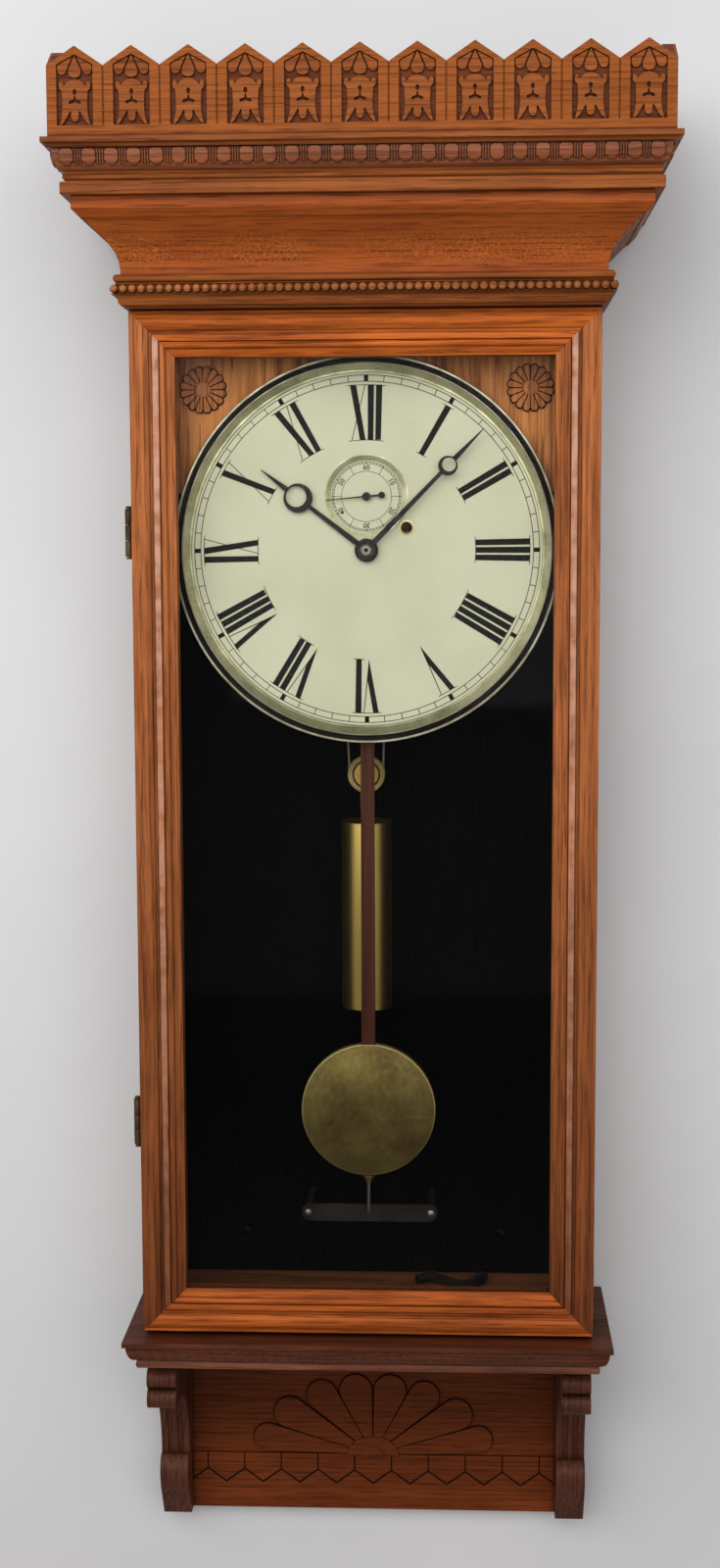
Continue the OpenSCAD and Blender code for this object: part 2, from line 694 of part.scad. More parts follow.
// The catch grips a stud on the door between two leaf springs
module door_catch() color(brass) at_dial() translate([0, 0, -catch_down]) {
    box(in_x - 1.5, in_x, case_d - 24, case_d - 1, -14, 14);
    for (s = [0, 1]) mirror([0, 0, s])
        box(catch_x - 6, in_x - 1, case_d - 19, case_d - 5, stud_r + clear, stud_r + clear + 0.8);
}
module catch_stud() color(brass) at_dial() translate([0, 0, -catch_down]) {
    box(catch_x - 4, catch_x + 4, case_d + door_gap - 1, case_d + door_gap, -9, 9);
    translate([catch_x, -case_d - door_gap + 0.5, 0]) rotate([-90, 0, 0]) {
        cylinder(r = stud_r, h = stud_l - 1.5);
        translate([0, 0, stud_l - 1.5]) cylinder(r1 = stud_r, r2 = stud_r / 2, h = 1.5);
    }
}

// Door

// Points across the frame: distance from the outer edge, and depth behind the front
door_points = concat([[0, door_t], [0, 3], [2.5, 3]], swell(2.5, 16.3, 3, 3),
    [[16.6, 4.2], [19.2, 4.2], [19.4, 2.2], [20.4, 1.8], [24.6, 1.8], [25.3, 2.4], [25.5, 3.6]],
    swell(25.7, 31.4, 3.4, 2.85), [[32, 3.8], [stile_w, 5.6], [stile_w, lip_d],
    [stile_w - rebate_w, lip_d], [stile_w - rebate_w, door_t]]);
corner = stile_w + cut;
module door_stile() intersection() {
    translate([0, 0, door_foot]) linear_extrude(door_top - door_foot)
        polygon([for (p = door_points) [p.x - half_w, p.y - door_front]]);
    slab(0, door_front + cut) polygon([[-half_w, door_foot], [-half_w, door_top],
        [corner - half_w, door_top - corner], [corner - half_w, door_foot + corner]]);
}
module door_stile_left() color(oak) at_dial() difference() {
    door_stile();
    for (z = hinge_ups) box(-half_w - cut, -half_w + leaf_w, case_d, case_d + door_gap + leaf_t,
        z - hinge_h / 2, z + hinge_h / 2);
}
module door_stile_right() color(oak) at_dial() mirror([1, 0, 0]) door_stile();
module door_rail(edge, s) intersection() {
    rotate([90, 0, 90]) linear_extrude(case_w, center = true)
        polygon([for (p = door_points) [p.y - door_front, edge - s * p.x]]);
    slab(0, door_front + cut) polygon([[-half_w, edge], [half_w, edge],
        [half_w - corner, edge - s * corner], [corner - half_w, edge - s * corner]]);
}
module door_rail_top() color(oak) at_dial() door_rail(door_top, 1);
module door_rail_bottom() color(oak) at_dial() door_rail(door_foot, -1);

rebate_x = half_w - stile_w + rebate_w;
rebate_top = door_top - stile_w + rebate_w;
rebate_foot = door_foot + stile_w - rebate_w;
module door_glass() color([0.7, 0.8, 0.8, 0.3]) at_dial()
    box(clear - rebate_x, rebate_x - clear, glass_d, glass_d + glass_t,
        rebate_foot + clear, rebate_top - clear);
module glass_beads() color(oak) at_dial() difference() {
    box(-rebate_x, rebate_x, glass_d - glaze_d, glass_d, rebate_foot, rebate_top);
    box(rebate_w - rebate_x, rebate_x - rebate_w, glass_d - glaze_d - cut, glass_d + cut,
        rebate_foot + rebate_w, rebate_top - rebate_w);
}

// Dial

feet_at = [[-46, -46], [46, -46], [-46, 80], [46, 80]];
module dial_plate() color(cream) at_dial() {
    difference() {
        rod(centre_at, dial_r, dial_back, dial_front);
        rod(centre_at, pipe_r + 2, dial_back - cut, dial_front + cut);
        rod(escape_at, sec_r + 0.1, dial_back - cut, dial_front + cut);
        rod(great_at, wind_r + 0.9, dial_back - cut, dial_front + cut);
    }
    for (p = feet_at) rod(p, 3, front_d, dial_back);
}
module dial_bevel() color(silver) at_dial() turned()
    polygon([[dial_r + 0.1, dial_back], [dial_r + 0.1, dial_front + 0.8],
        [hoop_r, hoop_front - 0.6], [hoop_r, dial_back]]);
module dial_hoop() color(black) at_dial() turned() polygon(concat(
    [[dial_r - 5, dial_back - flange_t], [dial_r - 5, dial_back], [hoop_r, dial_back]],
    [[hoop_r, hoop_front]], arc([hoop_r + hoop_w - 4.1, hoop_front - 1.5], 2, 90, 0, 5),
    [[hoop_r + hoop_w, hoop_front - 2.6], [hoop_r + hoop_w, board_d], [hoop_r + 1.6, board_d],
    [hoop_r + 1.6, dial_back - flange_t]]));
module seconds_dial() color(cream) at_dial() difference() {
    rod(escape_at, sec_r, dial_front - sec_sink - 1, dial_front - sec_sink);
    rod(escape_at, second_arbor_r + 0.7, dial_front - sec_sink - 2 * cut, dial_front);
}
module seconds_ring() color(silver) at_dial() translate([0, 0, sec_up]) turned()
    polygon([[sec_r - sec_ring_w, dial_front - sec_sink], [sec_r - sec_ring_w, dial_front - sec_sink + 0.4],
        [sec_r - 1, dial_front + 0.4], [sec_r, dial_front + 0.4], [sec_r, dial_front - sec_sink]]);
module winding_grommet() color(brass) at_dial() translate([wind_x, 0, wind_up]) turned()
    polygon([[wind_r, dial_back - 1], [wind_r, dial_front + 0.6], [wind_r + 1.6, dial_front + 0.3],
        [wind_r + 1.6, dial_front], [wind_r + 0.8, dial_front], [wind_r + 0.8, dial_back - 1]]);

// Wheels

function toothed(n, m) = let (r = n * m / 2, p = 360 / n) [for (i = [0:n - 1])
    for (e = [[-tooth_root, -dedendum], [-tooth_tip, addendum], [tooth_tip, addendum],
        [tooth_root, -dedendum]]) let (a = (i + e.x) * p) (r + e.y * m) * [cos(a), sin(a)]];
module teeth(at, n, m, turn, d0, d1) translate([at.x, 0, at.y]) slab(d0, d1) rotate(turn)
    polygon(toothed(n, m));
// The openings between the spokes of a wheel
module crossings(at, r0, r1, d0) translate([at.x, 0, at.y]) slab(d0 - cut, d0 + wheel_t + cut)
    difference() {
        circle(r1);
        circle(r0);
        for (i = [0:spokes - 1]) rotate(i * 360 / spokes) translate([0, -1]) square([r1 + cut, 2]);
    }
module wheel(at, n, m, turn, d0) difference() {
    teeth(at, n, m, turn, d0, d0 + wheel_t);
    crossings(at, 6, n * m / 2 - 3.5, d0);
}
// The leaves of a pinion on its arbor
module pinion(at, n, m, turn, d0) teeth(at, n, m, turn, d0 - 1, d0 + wheel_t + 1);

module great_wheel() color(brass) at_dial() difference() {
    wheel(great_at, great_n, train_m, great_turn, great_wheel_d);
    rod(great_at, wind_arbor_r + run_gap, great_wheel_d - cut, great_wheel_d + wheel_t + cut);
}
module winding_drum() color(brass) at_dial() {
    rod(great_at, wind_arbor_r, rear_d - 0.5, front_d + 5);
    translate([wind_x, 0, wind_up]) slab(front_d + 4, dial_front - 0.8) square(4.2, center = true);
    rod(great_at, drum_r, drum_d - drum_l / 2, drum_d + drum_l / 2);
    for (s = [-1, 1]) rod(great_at, drum_r + 3.4, drum_d + s * (drum_l / 2 + 0.75) - 0.75,
        drum_d + s * (drum_l / 2 + 0.75) + 0.75);
}
module second_wheel() color(brass) at_dial() {
    wheel(second_at_xy, second_n, second_m, second_turn, second_wheel_d);
    pinion(second_at_xy, second_pinion, train_m, second_turn, great_wheel_d);
    rod(second_at_xy, arbor_r, rear_d - 0.5, front_d + 0.5);
}
module centre_wheel() color(brass) at_dial() {
    wheel(centre_at, centre_n, train_m, centre_turn, centre_wheel_d);
    pinion(centre_at, centre_pinion, second_m, centre_turn, second_wheel_d);
    teeth(centre_at, cannon_n, train_m, centre_turn, front_d + 1.2, front_d + 4.2);
    rod(centre_at, centre_arbor_r, rear_d - 0.5, minute_hand_d + 5);
}
module motion_wheel() color(brass) at_dial() difference() {
    union() {
        wheel(motion_at, motion_n, train_m, motion_turn, front_d + 1.7);
        teeth(motion_at, motion_pinion, hour_m, motion_turn, front_d + 1.7, front_d + 8);
    }
    rod(motion_at, arbor_r + run_gap, front_d, front_d + 9);
}
module third_wheel() color(brass) at_dial() {
    wheel(third_at, third_n, train_m, third_pinion_turn, third_wheel_d);
    pinion(third_at, third_pinion, train_m, third_pinion_turn, centre_wheel_d);
    rod(third_at, arbor_r, rear_d - 0.5, front_d + 0.5);
}
module escape_wheel() color(brass) at_dial() {
    translate([0, 0, sec_up]) slab(escape_wheel_d, escape_wheel_d + 1.5) difference() {
        polygon([for (i = [0:escape_n - 1]) for (e = [[0, 0], [0.25, -2.6], [0.85, -2.6]])
            let (a = (i + e.x) * 360 / escape_n) (escape_r + e.y) * [cos(a), sin(a)]]);
        difference() {
            circle(escape_r - 5);
            circle(5);
            for (i = [0:spokes - 1]) rotate(i * 360 / spokes) translate([0, -0.8])
                square([escape_r, 1.6]);
        }
    }
    pinion(escape_at, escape_pinion, train_m, escape_pinion_turn, third_wheel_d);
    rod(escape_at, second_arbor_r, rear_d - 0.5, second_hand_d + 1.2);
}
module pallet_anchor() color(steel) at_dial() {
    translate([0, 0, pallet_up]) slab(escape_wheel_d - 0.8, escape_wheel_d + 2.3) {
        circle(4);
        for (s = [-1, 1]) polygon([[0, 3.8], [s * 3, 3.4], [s * 15, -4], [s * 15.5, -7.5],
            [s * 13.2, -9], [s * 11.5, -6], [s * 3, -2], [0, -3.6]]);
    }
    rod(pallet_at, arbor_r, rear_d - 0.5, front_d + 6);
    translate([0, 0, pallet_up]) slab(front_d + 3.5, front_d + 6) {
        circle(4);
        translate([-2, crutch_up - pallet_up - 2]) square([4, pallet_up - crutch_up]);
    }
    rod([0, crutch_up], crutch_pin_r, front_d + 3.5, pend_d + leader_t / 2 + 1.5);
}

// Movement frame

seat_in = 9;
module movement_seat() color(steel) at_dial() {
    box(-seat_x, seat_x, back_t, seat_d, -seat_down, seat_up);
    for (s = [-1, 1], z = [seat_in - seat_down, seat_up - seat_in])
        rod([s * (seat_x - seat_in), z], 5, seat_d, rear_d);
}
module pivots(d0, d1) {
    rod(centre_at, centre_arbor_r + run_gap, d0 - cut, d1 + cut);
    rod(great_at, wind_arbor_r + run_gap, d0 - cut, d1 + cut);
    rod(escape_at, second_arbor_r + run_gap, d0 - cut, d1 + cut);
    for (p = [second_at_xy, third_at, pallet_at]) rod(p, arbor_r + run_gap, d0 - cut, d1 + cut);
}
pillar_in = 8;
pillar_ups = [pillar_in - plate_down, plate_up - pillar_in];
module back_plate() color(brass) at_dial() {
    difference() {
        box(-plate_x, plate_x, rear_d, inner_d, -plate_down, plate_up);
        pivots(rear_d, inner_d);
    }
    for (s = [-1, 1], z = pillar_ups) rod([s * (plate_x - pillar_in), z], 4, inner_d, outer_d);
    rod(post_at, post_r, inner_d, outer_d);
}
module front_plate() color(brass) at_dial() {
    difference() {
        box(-plate_x, plate_x, outer_d, front_d, -plate_down, plate_up);
        pivots(outer_d, front_d);
    }
    rod(motion_at, arbor_r, front_d, front_d + 9);
    for (s = [-1, 1], z = pillar_ups) rod([s * (plate_x - pillar_in), z], 3, front_d, front_d + 1.5);
}
cheek_x = 5;
module suspension_cock() color(brass) at_dial() difference() {
    union() {
        box(-14, 14, front_d, front_d + 4, pallet_up + 8, plate_up - 1);
        box(-cheek_x, cheek_x, front_d, pend_d + cheek_gap / 2 + cheek_t, pallet_up + 10, plate_up - 2);
        for (s = [-1, 1]) let (d = pend_d + s * (cheek_gap + cheek_t) / 2)
            box(-cheek_x, cheek_x, d - cheek_t / 2, d + cheek_t / 2, pallet_up - 3, plate_up - 2);
    }
    rod(pallet_at, pin_r + run_gap, front_d + 2, dial_front);
}

// Hands

// A moon hand along +Y: a tapering stem, an open moon and a pointed tip
module moon_hand(d0, turn, length, moon, moon_r, rim, shift) rotate([0, turn, 0])
    slab(d0, d0 + hand_t) difference() {
        union() {
            polygon([[-2.6, 0], [2.6, 0], [1.6, moon], [-1.6, moon]]);
            translate([0, moon]) circle(moon_r);
            polygon([[-2.4, moon + moon_r - 0.6], [2.4, moon + moon_r - 0.6],
                [0.3, length], [-0.3, length]]);
        }
        translate([0, moon + shift]) circle(moon_r - rim - shift);
        circle(2);
    }
module hand_hub(r, d0, d1, bore) difference() {
    rod(centre_at, r, d0, d1);
    rod(centre_at, bore, d0 - cut, d1 + cut);
}
hub_r = 10.2;
module hour_hand() color(black) at_dial() {
    moon_hand(hour_hand_d, hour_at, hour_len, hour_moon_len, hour_moon_r, hour_rim,
        hour_shift);
    hand_hub(hub_r, hour_hand_d - 0.4, hour_hand_d + 1.6, centre_arbor_r + 0.08);
    hand_hub(pipe_r, front_d + 7.7, hour_hand_d, centre_arbor_r + 0.08);
    difference() {
        wheel(centre_at, hour_n, hour_m, hour_turn, front_d + 5.7);
        rod(centre_at, centre_arbor_r + 0.08, front_d, front_d + 9);
    }
}
module minute_hand() color(black) at_dial() {
    moon_hand(minute_hand_d, minute_at, minute_len, minute_moon_len, minute_moon_r, minute_rim,
        minute_shift);
    hand_hub(hub_r - 2, minute_hand_d - 0.8, minute_hand_d + 1.4, centre_arbor_r);
}
module hand_nut() color(silver) at_dial() difference() {
    turned() polygon([[0, minute_hand_d + 1.4], [5.5, minute_hand_d + 1.4],
        [5.5, minute_hand_d + 2.6], [3.6, minute_hand_d + 4.4], [0, minute_hand_d + 4.4]]);
    rod(centre_at, centre_arbor_r, front_d, minute_hand_d + 9);
}
module second_hand() color(black) at_dial() translate([0, 0, sec_up]) difference() {
    union() {
        rod(centre_at, 3.7, second_hand_d - 0.6, second_hand_d + 1.2);
        rotate([0, second_at, 0]) slab(second_hand_d, second_hand_d + hand_t * 0.7) {
            polygon([[-0.9, -second_tail], [0.9, -second_tail], [0.3, second_len],
                [-0.3, second_len]]);
            translate([0, -second_tail]) circle(2.9);
        }
    }
    rod(centre_at, second_arbor_r, second_hand_d - cut, second_hand_d + 2);
}

// Pendulum

module pendulum_leader() color(brass) at_dial() difference() {
    union() {
        rod(pallet_at, pin_r, pend_d - cheek_gap / 2 - cheek_t, pend_d + cheek_gap / 2 + cheek_t);
        box(-chop_h, chop_h, pend_d - 2.7, pend_d + 2.7, pallet_up - chop_h, pallet_up + chop_h);
        box(-0.25, 0.25, pend_d - 2.5, pend_d + 2.5, loop_top - cut, pallet_up);
        slab(pend_d - leader_t / 2, pend_d + leader_t / 2) {
            difference() {
                translate([-loop_x - loop_bar, loop_foot - 8])
                    square([2 * (loop_x + loop_bar), loop_top - loop_foot + 8]);
                translate([-loop_x, loop_foot]) square([2 * loop_x, loop_top - loop_foot - 9]);
            }
            translate([-rod_w / 2, ferrule_up]) square([rod_w, loop_foot - ferrule_up - 7]);
        }
        box(-rod_w / 2 - 1.5, rod_w / 2 + 1.5, pend_d - rod_t / 2 - 1.2, pend_d + rod_t / 2 + 1.2,
            ferrule_up - 14, ferrule_up + 2);
    }
    box(-rod_w / 2, rod_w / 2, pend_d - rod_t / 2, pend_d + rod_t / 2, ferrule_up - 20, ferrule_up);
    slab(pend_d - leader_t, pend_d + leader_t) translate([-crutch_pin_r - 0.2, crutch_up - 2.5])
        square([2 * crutch_pin_r + 0.4, 5]);
}
module pendulum_rod() color(dark_oak) at_dial() {
    box(-rod_w / 2, rod_w / 2, pend_d - rod_t / 2, pend_d + rod_t / 2, rod_foot, ferrule_up);
    translate([0, -pend_d, thread_foot]) cylinder(r = thread_r, h = rod_foot - thread_foot);
}
bob_edge = 9;
rod_gap = 0.2;
module pendulum_bob() color(brass) at_dial() difference() {
    translate([0, 0, -bob_down]) turned() polygon(concat(
        [[0, pend_d - bob_t / 2]], [[bob_r - 22, pend_d - bob_t / 2 + 0.6]],
        [[bob_r - 1, pend_d - bob_edge / 2]], [[bob_r, pend_d - bob_edge / 2 + 1]],
        [[bob_r, pend_d + bob_edge / 2 - 1]], [[bob_r - 1, pend_d + bob_edge / 2]],
        [[bob_r - 22, pend_d + bob_t / 2 - 0.6]], [[0, pend_d + bob_t / 2]]));
    box(-rod_w / 2 - rod_gap, rod_w / 2 + rod_gap, pend_d - rod_t / 2 - rod_gap,
        pend_d + rod_t / 2 + rod_gap, rod_foot - 4, -bob_down + bob_r + cut);
    translate([0, -pend_d, -bob_down - bob_r - cut]) cylinder(r = thread_r + 0.3, h = bob_r);
}
module rating_nut() color(brass) at_dial() translate([0, -pend_d, nut_up]) rotate([180, 0, 0])
    difference() {
        union() {
            cylinder(r = nut_r, h = 2.4);
            cylinder(r = nut_r - 2, h = nut_h);
        }
        translate([0, 0, -cut]) cylinder(r = thread_r + run_gap, h = nut_h + 2 * cut);
    }

// Weight, pulley and cord

module drive_weight() color(brass) at_dial() translate([pulley_x, -cord_d, 0]) {
    translate([0, 0, weight_top - weight_h]) rotate_extrude() polygon([[0, 0], [weight_r - 1, 0],
        [weight_r, 1], [weight_r, weight_h - 1], [weight_r - 1, weight_h], [0, weight_h]]);
    translate([0, 0, weight_top]) cylinder(r = 2.2, h = stirrup_foot + 1);
    translate([-stirrup_w / 2, -stirrup_t / 2, weight_top + stirrup_foot]) {
        for (s = [-1, 1]) translate([0, s * (pulley_t / 2 + 1.2), 0])
            cube([stirrup_w, stirrup_t, weight_drop - stirrup_foot + stirrup_over]);
        translate([0, -pulley_t / 2 - 1.2, 0]) cube([stirrup_w, pulley_t + 2.4 + stirrup_t, 3]);
    }
    translate([0, pulley_t / 2 + 3, -pulley_down]) rotate([90, 0, 0])
        cylinder(r = axle_r, h = pulley_t + 6);
}
module weight_pulley() color(brass) at_dial() translate([pulley_x, 0, -pulley_down]) turned()
    polygon([[axle_r + run_gap, cord_d - pulley_t / 2], [pulley_rim, cord_d - pulley_t / 2],
        [pulley_rim, cord_d - cord_r - 1], [pulley_r - cord_r - 0.2, cord_d - cord_r],
        [pulley_r - cord_r - 0.2, cord_d + cord_r], [pulley_rim, cord_d + cord_r + 1],
        [pulley_rim, cord_d + pulley_t / 2], [axle_r + run_gap, cord_d + pulley_t / 2]]);

// Where a line from p touches the pulley, as the angle of the point on it
function touch(p, s) = let (d = norm(p - pulley_at)) angle_to(pulley_at, p) + s * acos(pulley_r / d);
cord_sides = 12;
left_touch = touch(cord_end, 1);
right_touch = touch(drum_leave, -1);
module straight(a, b) let (d = norm(b - a)) translate([a.x, -cord_d, a.y])
    rotate([0, 90 - angle_to(a, b), 0]) cylinder(r = cord_r, h = d, $fn = cord_sides);
module weight_cord() color([0.45, 0.36, 0.22]) at_dial() {
    straight(pulley_at + pulley_r * [cos(left_touch), sin(left_touch)], cord_end);
    straight(pulley_at + pulley_r * [cos(right_touch), sin(right_touch)], drum_leave);
    translate([pulley_x, -cord_d, -pulley_down]) rotate([90, 0, 0]) rotate([0, 0, left_touch])
        rotate_extrude(angle = 360 - left_touch + right_touch) translate([pulley_r, 0])
            circle(cord_r, $fn = cord_sides);
}

// Beat scale and key

scale_d = pend_d - 14;
post_in = 5.5;
module beat_scale() color(black) at_dial() translate([0, 0, -scale_down]) {
    slab(scale_d, scale_d + 2) {
        square([scale_l - scale_h, scale_h], center = true);
        for (s = [-1, 1]) translate([s * (scale_l - scale_h) / 2, 0]) circle(scale_h / 2);
    }
    for (s = [-1, 1]) {
        rod([s * (scale_l / 2 - post_in), 0], 3, back_t, scale_d);
        rod([s * (scale_l / 2 - post_in), 0], 2, scale_d + 2, scale_d + 3);
    }
}

// The key's route on the case floor: socket end, first bend, second bend and grip end
key_route = [[43, 48], [55.5, 38.5], [89, 66], [104, 37.5]];
socket_r = 4.2;
key_up = floor_up + grip_r + 0.1;
// Places its children at a point of the route, with +X along the line to the next point
module key_at(i, j) translate([key_route[i].x, -key_route[i].y, key_up])
    rotate([0, 0, -angle_to(key_route[i], key_route[j])]) children();
module key_bar(i, r) key_at(i, i + 1) rotate([0, 90, 0])
    cylinder(r = r, h = norm(key_route[i + 1] - key_route[i]));
module key_boss(i, r) key_at(i, i - 1) translate([0, 0, 0.5 - r])
    cylinder(r = r + 0.8, h = 2 * r - 1);
module winding_key() color(black) at_dial() difference() {
    union() {
        key_bar(0, socket_r);
        key_bar(2, grip_r);
        key_boss(1, socket_r);
        key_boss(2, grip_r);
        key_at(1, 2) translate([0, -3.5, -2.6])
            cube([norm(key_route[2] - key_route[1]), 7, 5.2]);
    }
    key_at(0, 1) translate([-cut, -2.3, -2.3]) cube([9, 4.6, 4.6]);
}

back_board();
side_left();
side_right();
case_top();
case_floor();
dial_board();
corner_rosettes();
crown_core();
crown_boards();
crest_fence();
egg_moulding();
cove_moulding();
bead_moulding();
base_shelf();
shelf_underboard();
bracket_left();
bracket_right();
apron_panel();
hanger_plate();
hinge_case_leaves();
door_catch();
door_stile_left();
door_stile_right();
door_rail_top();
door_rail_bottom();
door_glass();
glass_beads();
hinge_door_leaves();
catch_stud();
dial_plate();
dial_bevel();
dial_hoop();
seconds_dial();
seconds_ring();
winding_grommet();
movement_seat();
back_plate();
front_plate();
suspension_cock();
winding_drum();
great_wheel();
second_wheel();
centre_wheel();
motion_wheel();
third_wheel();
escape_wheel();
pallet_anchor();
hour_hand();
minute_hand();
hand_nut();
second_hand();
pendulum_leader();
pendulum_rod();
pendulum_bob();
rating_nut();
drive_weight();
weight_pulley();
weight_cord();
beat_scale();
winding_key();
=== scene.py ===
# Wall regulator clock in a carved oak case, with a twelve inch painted dial, a wooden pendulum
# rod and a brass weight. The pieces follow each other as the clock is put together.
import math

import bmesh
import bpy
from mathutils import Matrix, Vector


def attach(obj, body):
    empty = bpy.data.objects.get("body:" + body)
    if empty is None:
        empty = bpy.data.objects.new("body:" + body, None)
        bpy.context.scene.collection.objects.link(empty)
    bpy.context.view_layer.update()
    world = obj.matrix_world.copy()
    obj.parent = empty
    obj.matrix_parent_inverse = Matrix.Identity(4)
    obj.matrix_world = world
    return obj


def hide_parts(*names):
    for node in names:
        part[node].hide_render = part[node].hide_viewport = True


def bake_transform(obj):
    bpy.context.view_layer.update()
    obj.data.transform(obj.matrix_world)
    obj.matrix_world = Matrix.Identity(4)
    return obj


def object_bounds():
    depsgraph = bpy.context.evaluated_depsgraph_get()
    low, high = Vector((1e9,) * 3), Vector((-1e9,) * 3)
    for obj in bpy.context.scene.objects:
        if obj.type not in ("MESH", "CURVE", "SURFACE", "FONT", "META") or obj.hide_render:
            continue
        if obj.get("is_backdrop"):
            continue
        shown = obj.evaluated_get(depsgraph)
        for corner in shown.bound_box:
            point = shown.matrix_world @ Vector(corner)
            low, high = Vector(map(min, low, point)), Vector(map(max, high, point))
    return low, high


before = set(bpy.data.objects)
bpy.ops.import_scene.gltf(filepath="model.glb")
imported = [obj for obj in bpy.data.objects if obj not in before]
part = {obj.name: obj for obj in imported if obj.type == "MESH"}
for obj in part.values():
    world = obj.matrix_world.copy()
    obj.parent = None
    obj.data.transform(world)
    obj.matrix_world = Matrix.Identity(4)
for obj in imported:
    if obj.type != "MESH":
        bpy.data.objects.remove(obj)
cad_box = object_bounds()

# THE ROOM. The clock hangs on a smooth pale plaster wall over a pale floor. Two wide soft lamps
# stand at the upper left and right, and the view is taken at the height of the dial's centre.
camera = bpy.data.objects.new("camera", bpy.data.cameras.new("camera"))
bpy.context.collection.objects.link(camera)
bpy.context.scene.camera = camera
camera.data.lens = 47.38
camera.data.sensor_width = 36
camera_at = (0.0765, -1.9076, -0.2791)
yaw, pitch, roll = (math.radians(angle) for angle in (2.6315, 6.1709, -0.1906))
ahead = Vector((-math.sin(yaw) * math.cos(pitch), math.cos(yaw) * math.cos(pitch),
                -math.sin(pitch)))
across = Vector((math.cos(yaw), math.sin(yaw), 0))
over = across.cross(ahead)
level = math.cos(roll) * across + math.sin(roll) * over
upright = math.cos(roll) * over - math.sin(roll) * across
camera.matrix_world = (Matrix.Translation(camera_at)
                       @ Matrix((level, upright, -ahead)).transposed().to_4x4())


def colour(red, green, blue):
    """A colour as a paint chart gives it, from 0 to 255, as light."""
    return tuple((c / 255 / 12.92 if c < 10 else ((c / 255 + 0.055) / 1.055) ** 2.4)
                 for c in (red, green, blue)) + (1,)


def node_maker(tree, shader=None):
    """A way to add a node to a tree, or to fill in its shader."""
    def node(kind, inputs=(), **settings):
        made = shader if kind == "shader" else tree.nodes.new("ShaderNode" + kind)
        for key, value in settings.items():
            setattr(made, key, value)
        for key, value in dict(inputs).items():
            if isinstance(value, bpy.types.NodeSocket):
                tree.links.new(value, made.inputs[key])
            else:
                made.inputs[key].default_value = value
        return made
    return node


def new_finish(name):
    """A finish to be mixed: its material, a way to add a node to it, and where a point lies."""
    material = bpy.data.materials.new(name)
    material.use_nodes = True
    node = node_maker(material.node_tree, material.node_tree.nodes["Principled BSDF"])
    return material, node, node("TexCoord").outputs["Object"]


def steps(node, source, *points):
    """The tones that a value from 0 to 1 is given, each from its place on."""
    made = node("ValToRGB", {"Fac": source})
    ramp = made.color_ramp
    while len(ramp.elements) < len(points):
        ramp.elements.new(0.5)
    for element, (place, tone) in zip(ramp.elements, points):
        element.position = place
        element.color = tone if isinstance(tone, tuple) else (tone, tone, tone, 1)
    return made.outputs["Color"]


def mixed(node, amount, first, second, how="MIX"):
    """Two colours laid over each other by an amount."""
    made = node("Mix", {0: amount, 6: first, 7: second}, data_type="RGBA", blend_type=how)
    return made.outputs[2]


def times(node, first, second):
    """One colour or amount darkened by another."""
    return mixed(node, 1.0, first, second, "MULTIPLY")


def worked(node, operation, first, second=0, **settings):
    """One step of arithmetic."""
    return node("Math", {0: first, 1: second}, operation=operation, **settings).outputs[0]


def coordinate(node, place, axis):
    """Where a point lies along an axis."""
    return node("SeparateXYZ", {0: place}).outputs[axis]


def way(node, place, axis, start, end):
    """How far along an axis a point lies, from 0 at one place to 1 at another."""
    return node("MapRange", {"Value": coordinate(node, place, axis), "From Min": start,
                             "From Max": end}).outputs[0]


def noise(node, place, scale, detail, roughness=0.5):
    """An even noise from 0 to 1."""
    return node("TexNoise", {"Vector": place, "Scale": scale, "Detail": detail,
                             "Roughness": roughness}).outputs["Fac"]


def seen_directly(node):
    """1 for a ray from the camera, from a polished surface or through glass, else 0."""
    seen = node("LightPath").outputs
    either = worked(node, "ADD", seen["Is Camera Ray"], seen["Is Glossy Ray"], use_clamp=True)
    return worked(node, "ADD", either, seen["Is Transmission Ray"], use_clamp=True)


plaster, node, place = new_finish("plaster")
from_front = worked(node, "SUBTRACT", seen_directly(node),
                    node("NewGeometry").outputs["Backfacing"], use_clamp=True)
chalk = steps(node, noise(node, place, 3, 4), (0.3, colour(214, 214, 216)),
              (0.7, colour(221, 221, 222)))
# Painted shade: each plaster sheet darkens along its own Y axis, the wall towards its foot.
lower_wall_shade = steps(node, way(node, place, "Y", -0.9, 0.5), (0, colour(236, 233, 230)), (0.6, 1))
node("shader", {"Base Color": times(node, chalk, lower_wall_shade), "Roughness": 0.9,
                "Specular IOR Level": 0.1})
skin = node("MixShader", {0: from_front, 1: node("BsdfTransparent").outputs[0],
                          2: node("shader").outputs[0]})
plaster.node_tree.links.new(skin.outputs[0],
                            plaster.node_tree.nodes["Material Output"].inputs["Surface"])
for name, place, turn in (("wall", (0, 0.0006, -0.6), (math.pi / 2, 0, 0)),
                          ("floor", (0, -3.4, -2.1), (0, 0, 0))):
    sheet = bmesh.new()
    bmesh.ops.create_grid(sheet, x_segments=2, y_segments=2, size=3.5)
    room_mesh = bpy.data.meshes.new(name)
    sheet.to_mesh(room_mesh)
    sheet.free()
    room_side = bpy.data.objects.new(name, room_mesh)
    bpy.context.collection.objects.link(room_side)
    room_side.location, room_side.rotation_euler = place, turn
    room_mesh.materials.append(plaster)
    room_side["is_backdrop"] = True

for name, place, target, power, width in (
        ("lamp_left", (-1.9, -3.0, 1.2), (0, -0.1, -0.4), 98, 3.6),
        ("lamp_front", (0.9, -3.5, 0.9), (0, -0.1, -0.4), 70, 3.4)):
    lamp = bpy.data.objects.new(name, bpy.data.lights.new(name, "AREA"))
    bpy.context.collection.objects.link(lamp)
    lamp.data.energy, lamp.data.size = power, width
    lamp.location = place
    lamp.rotation_euler = (Vector(target) - Vector(place)).to_track_quat("-Z", "Y").to_euler()

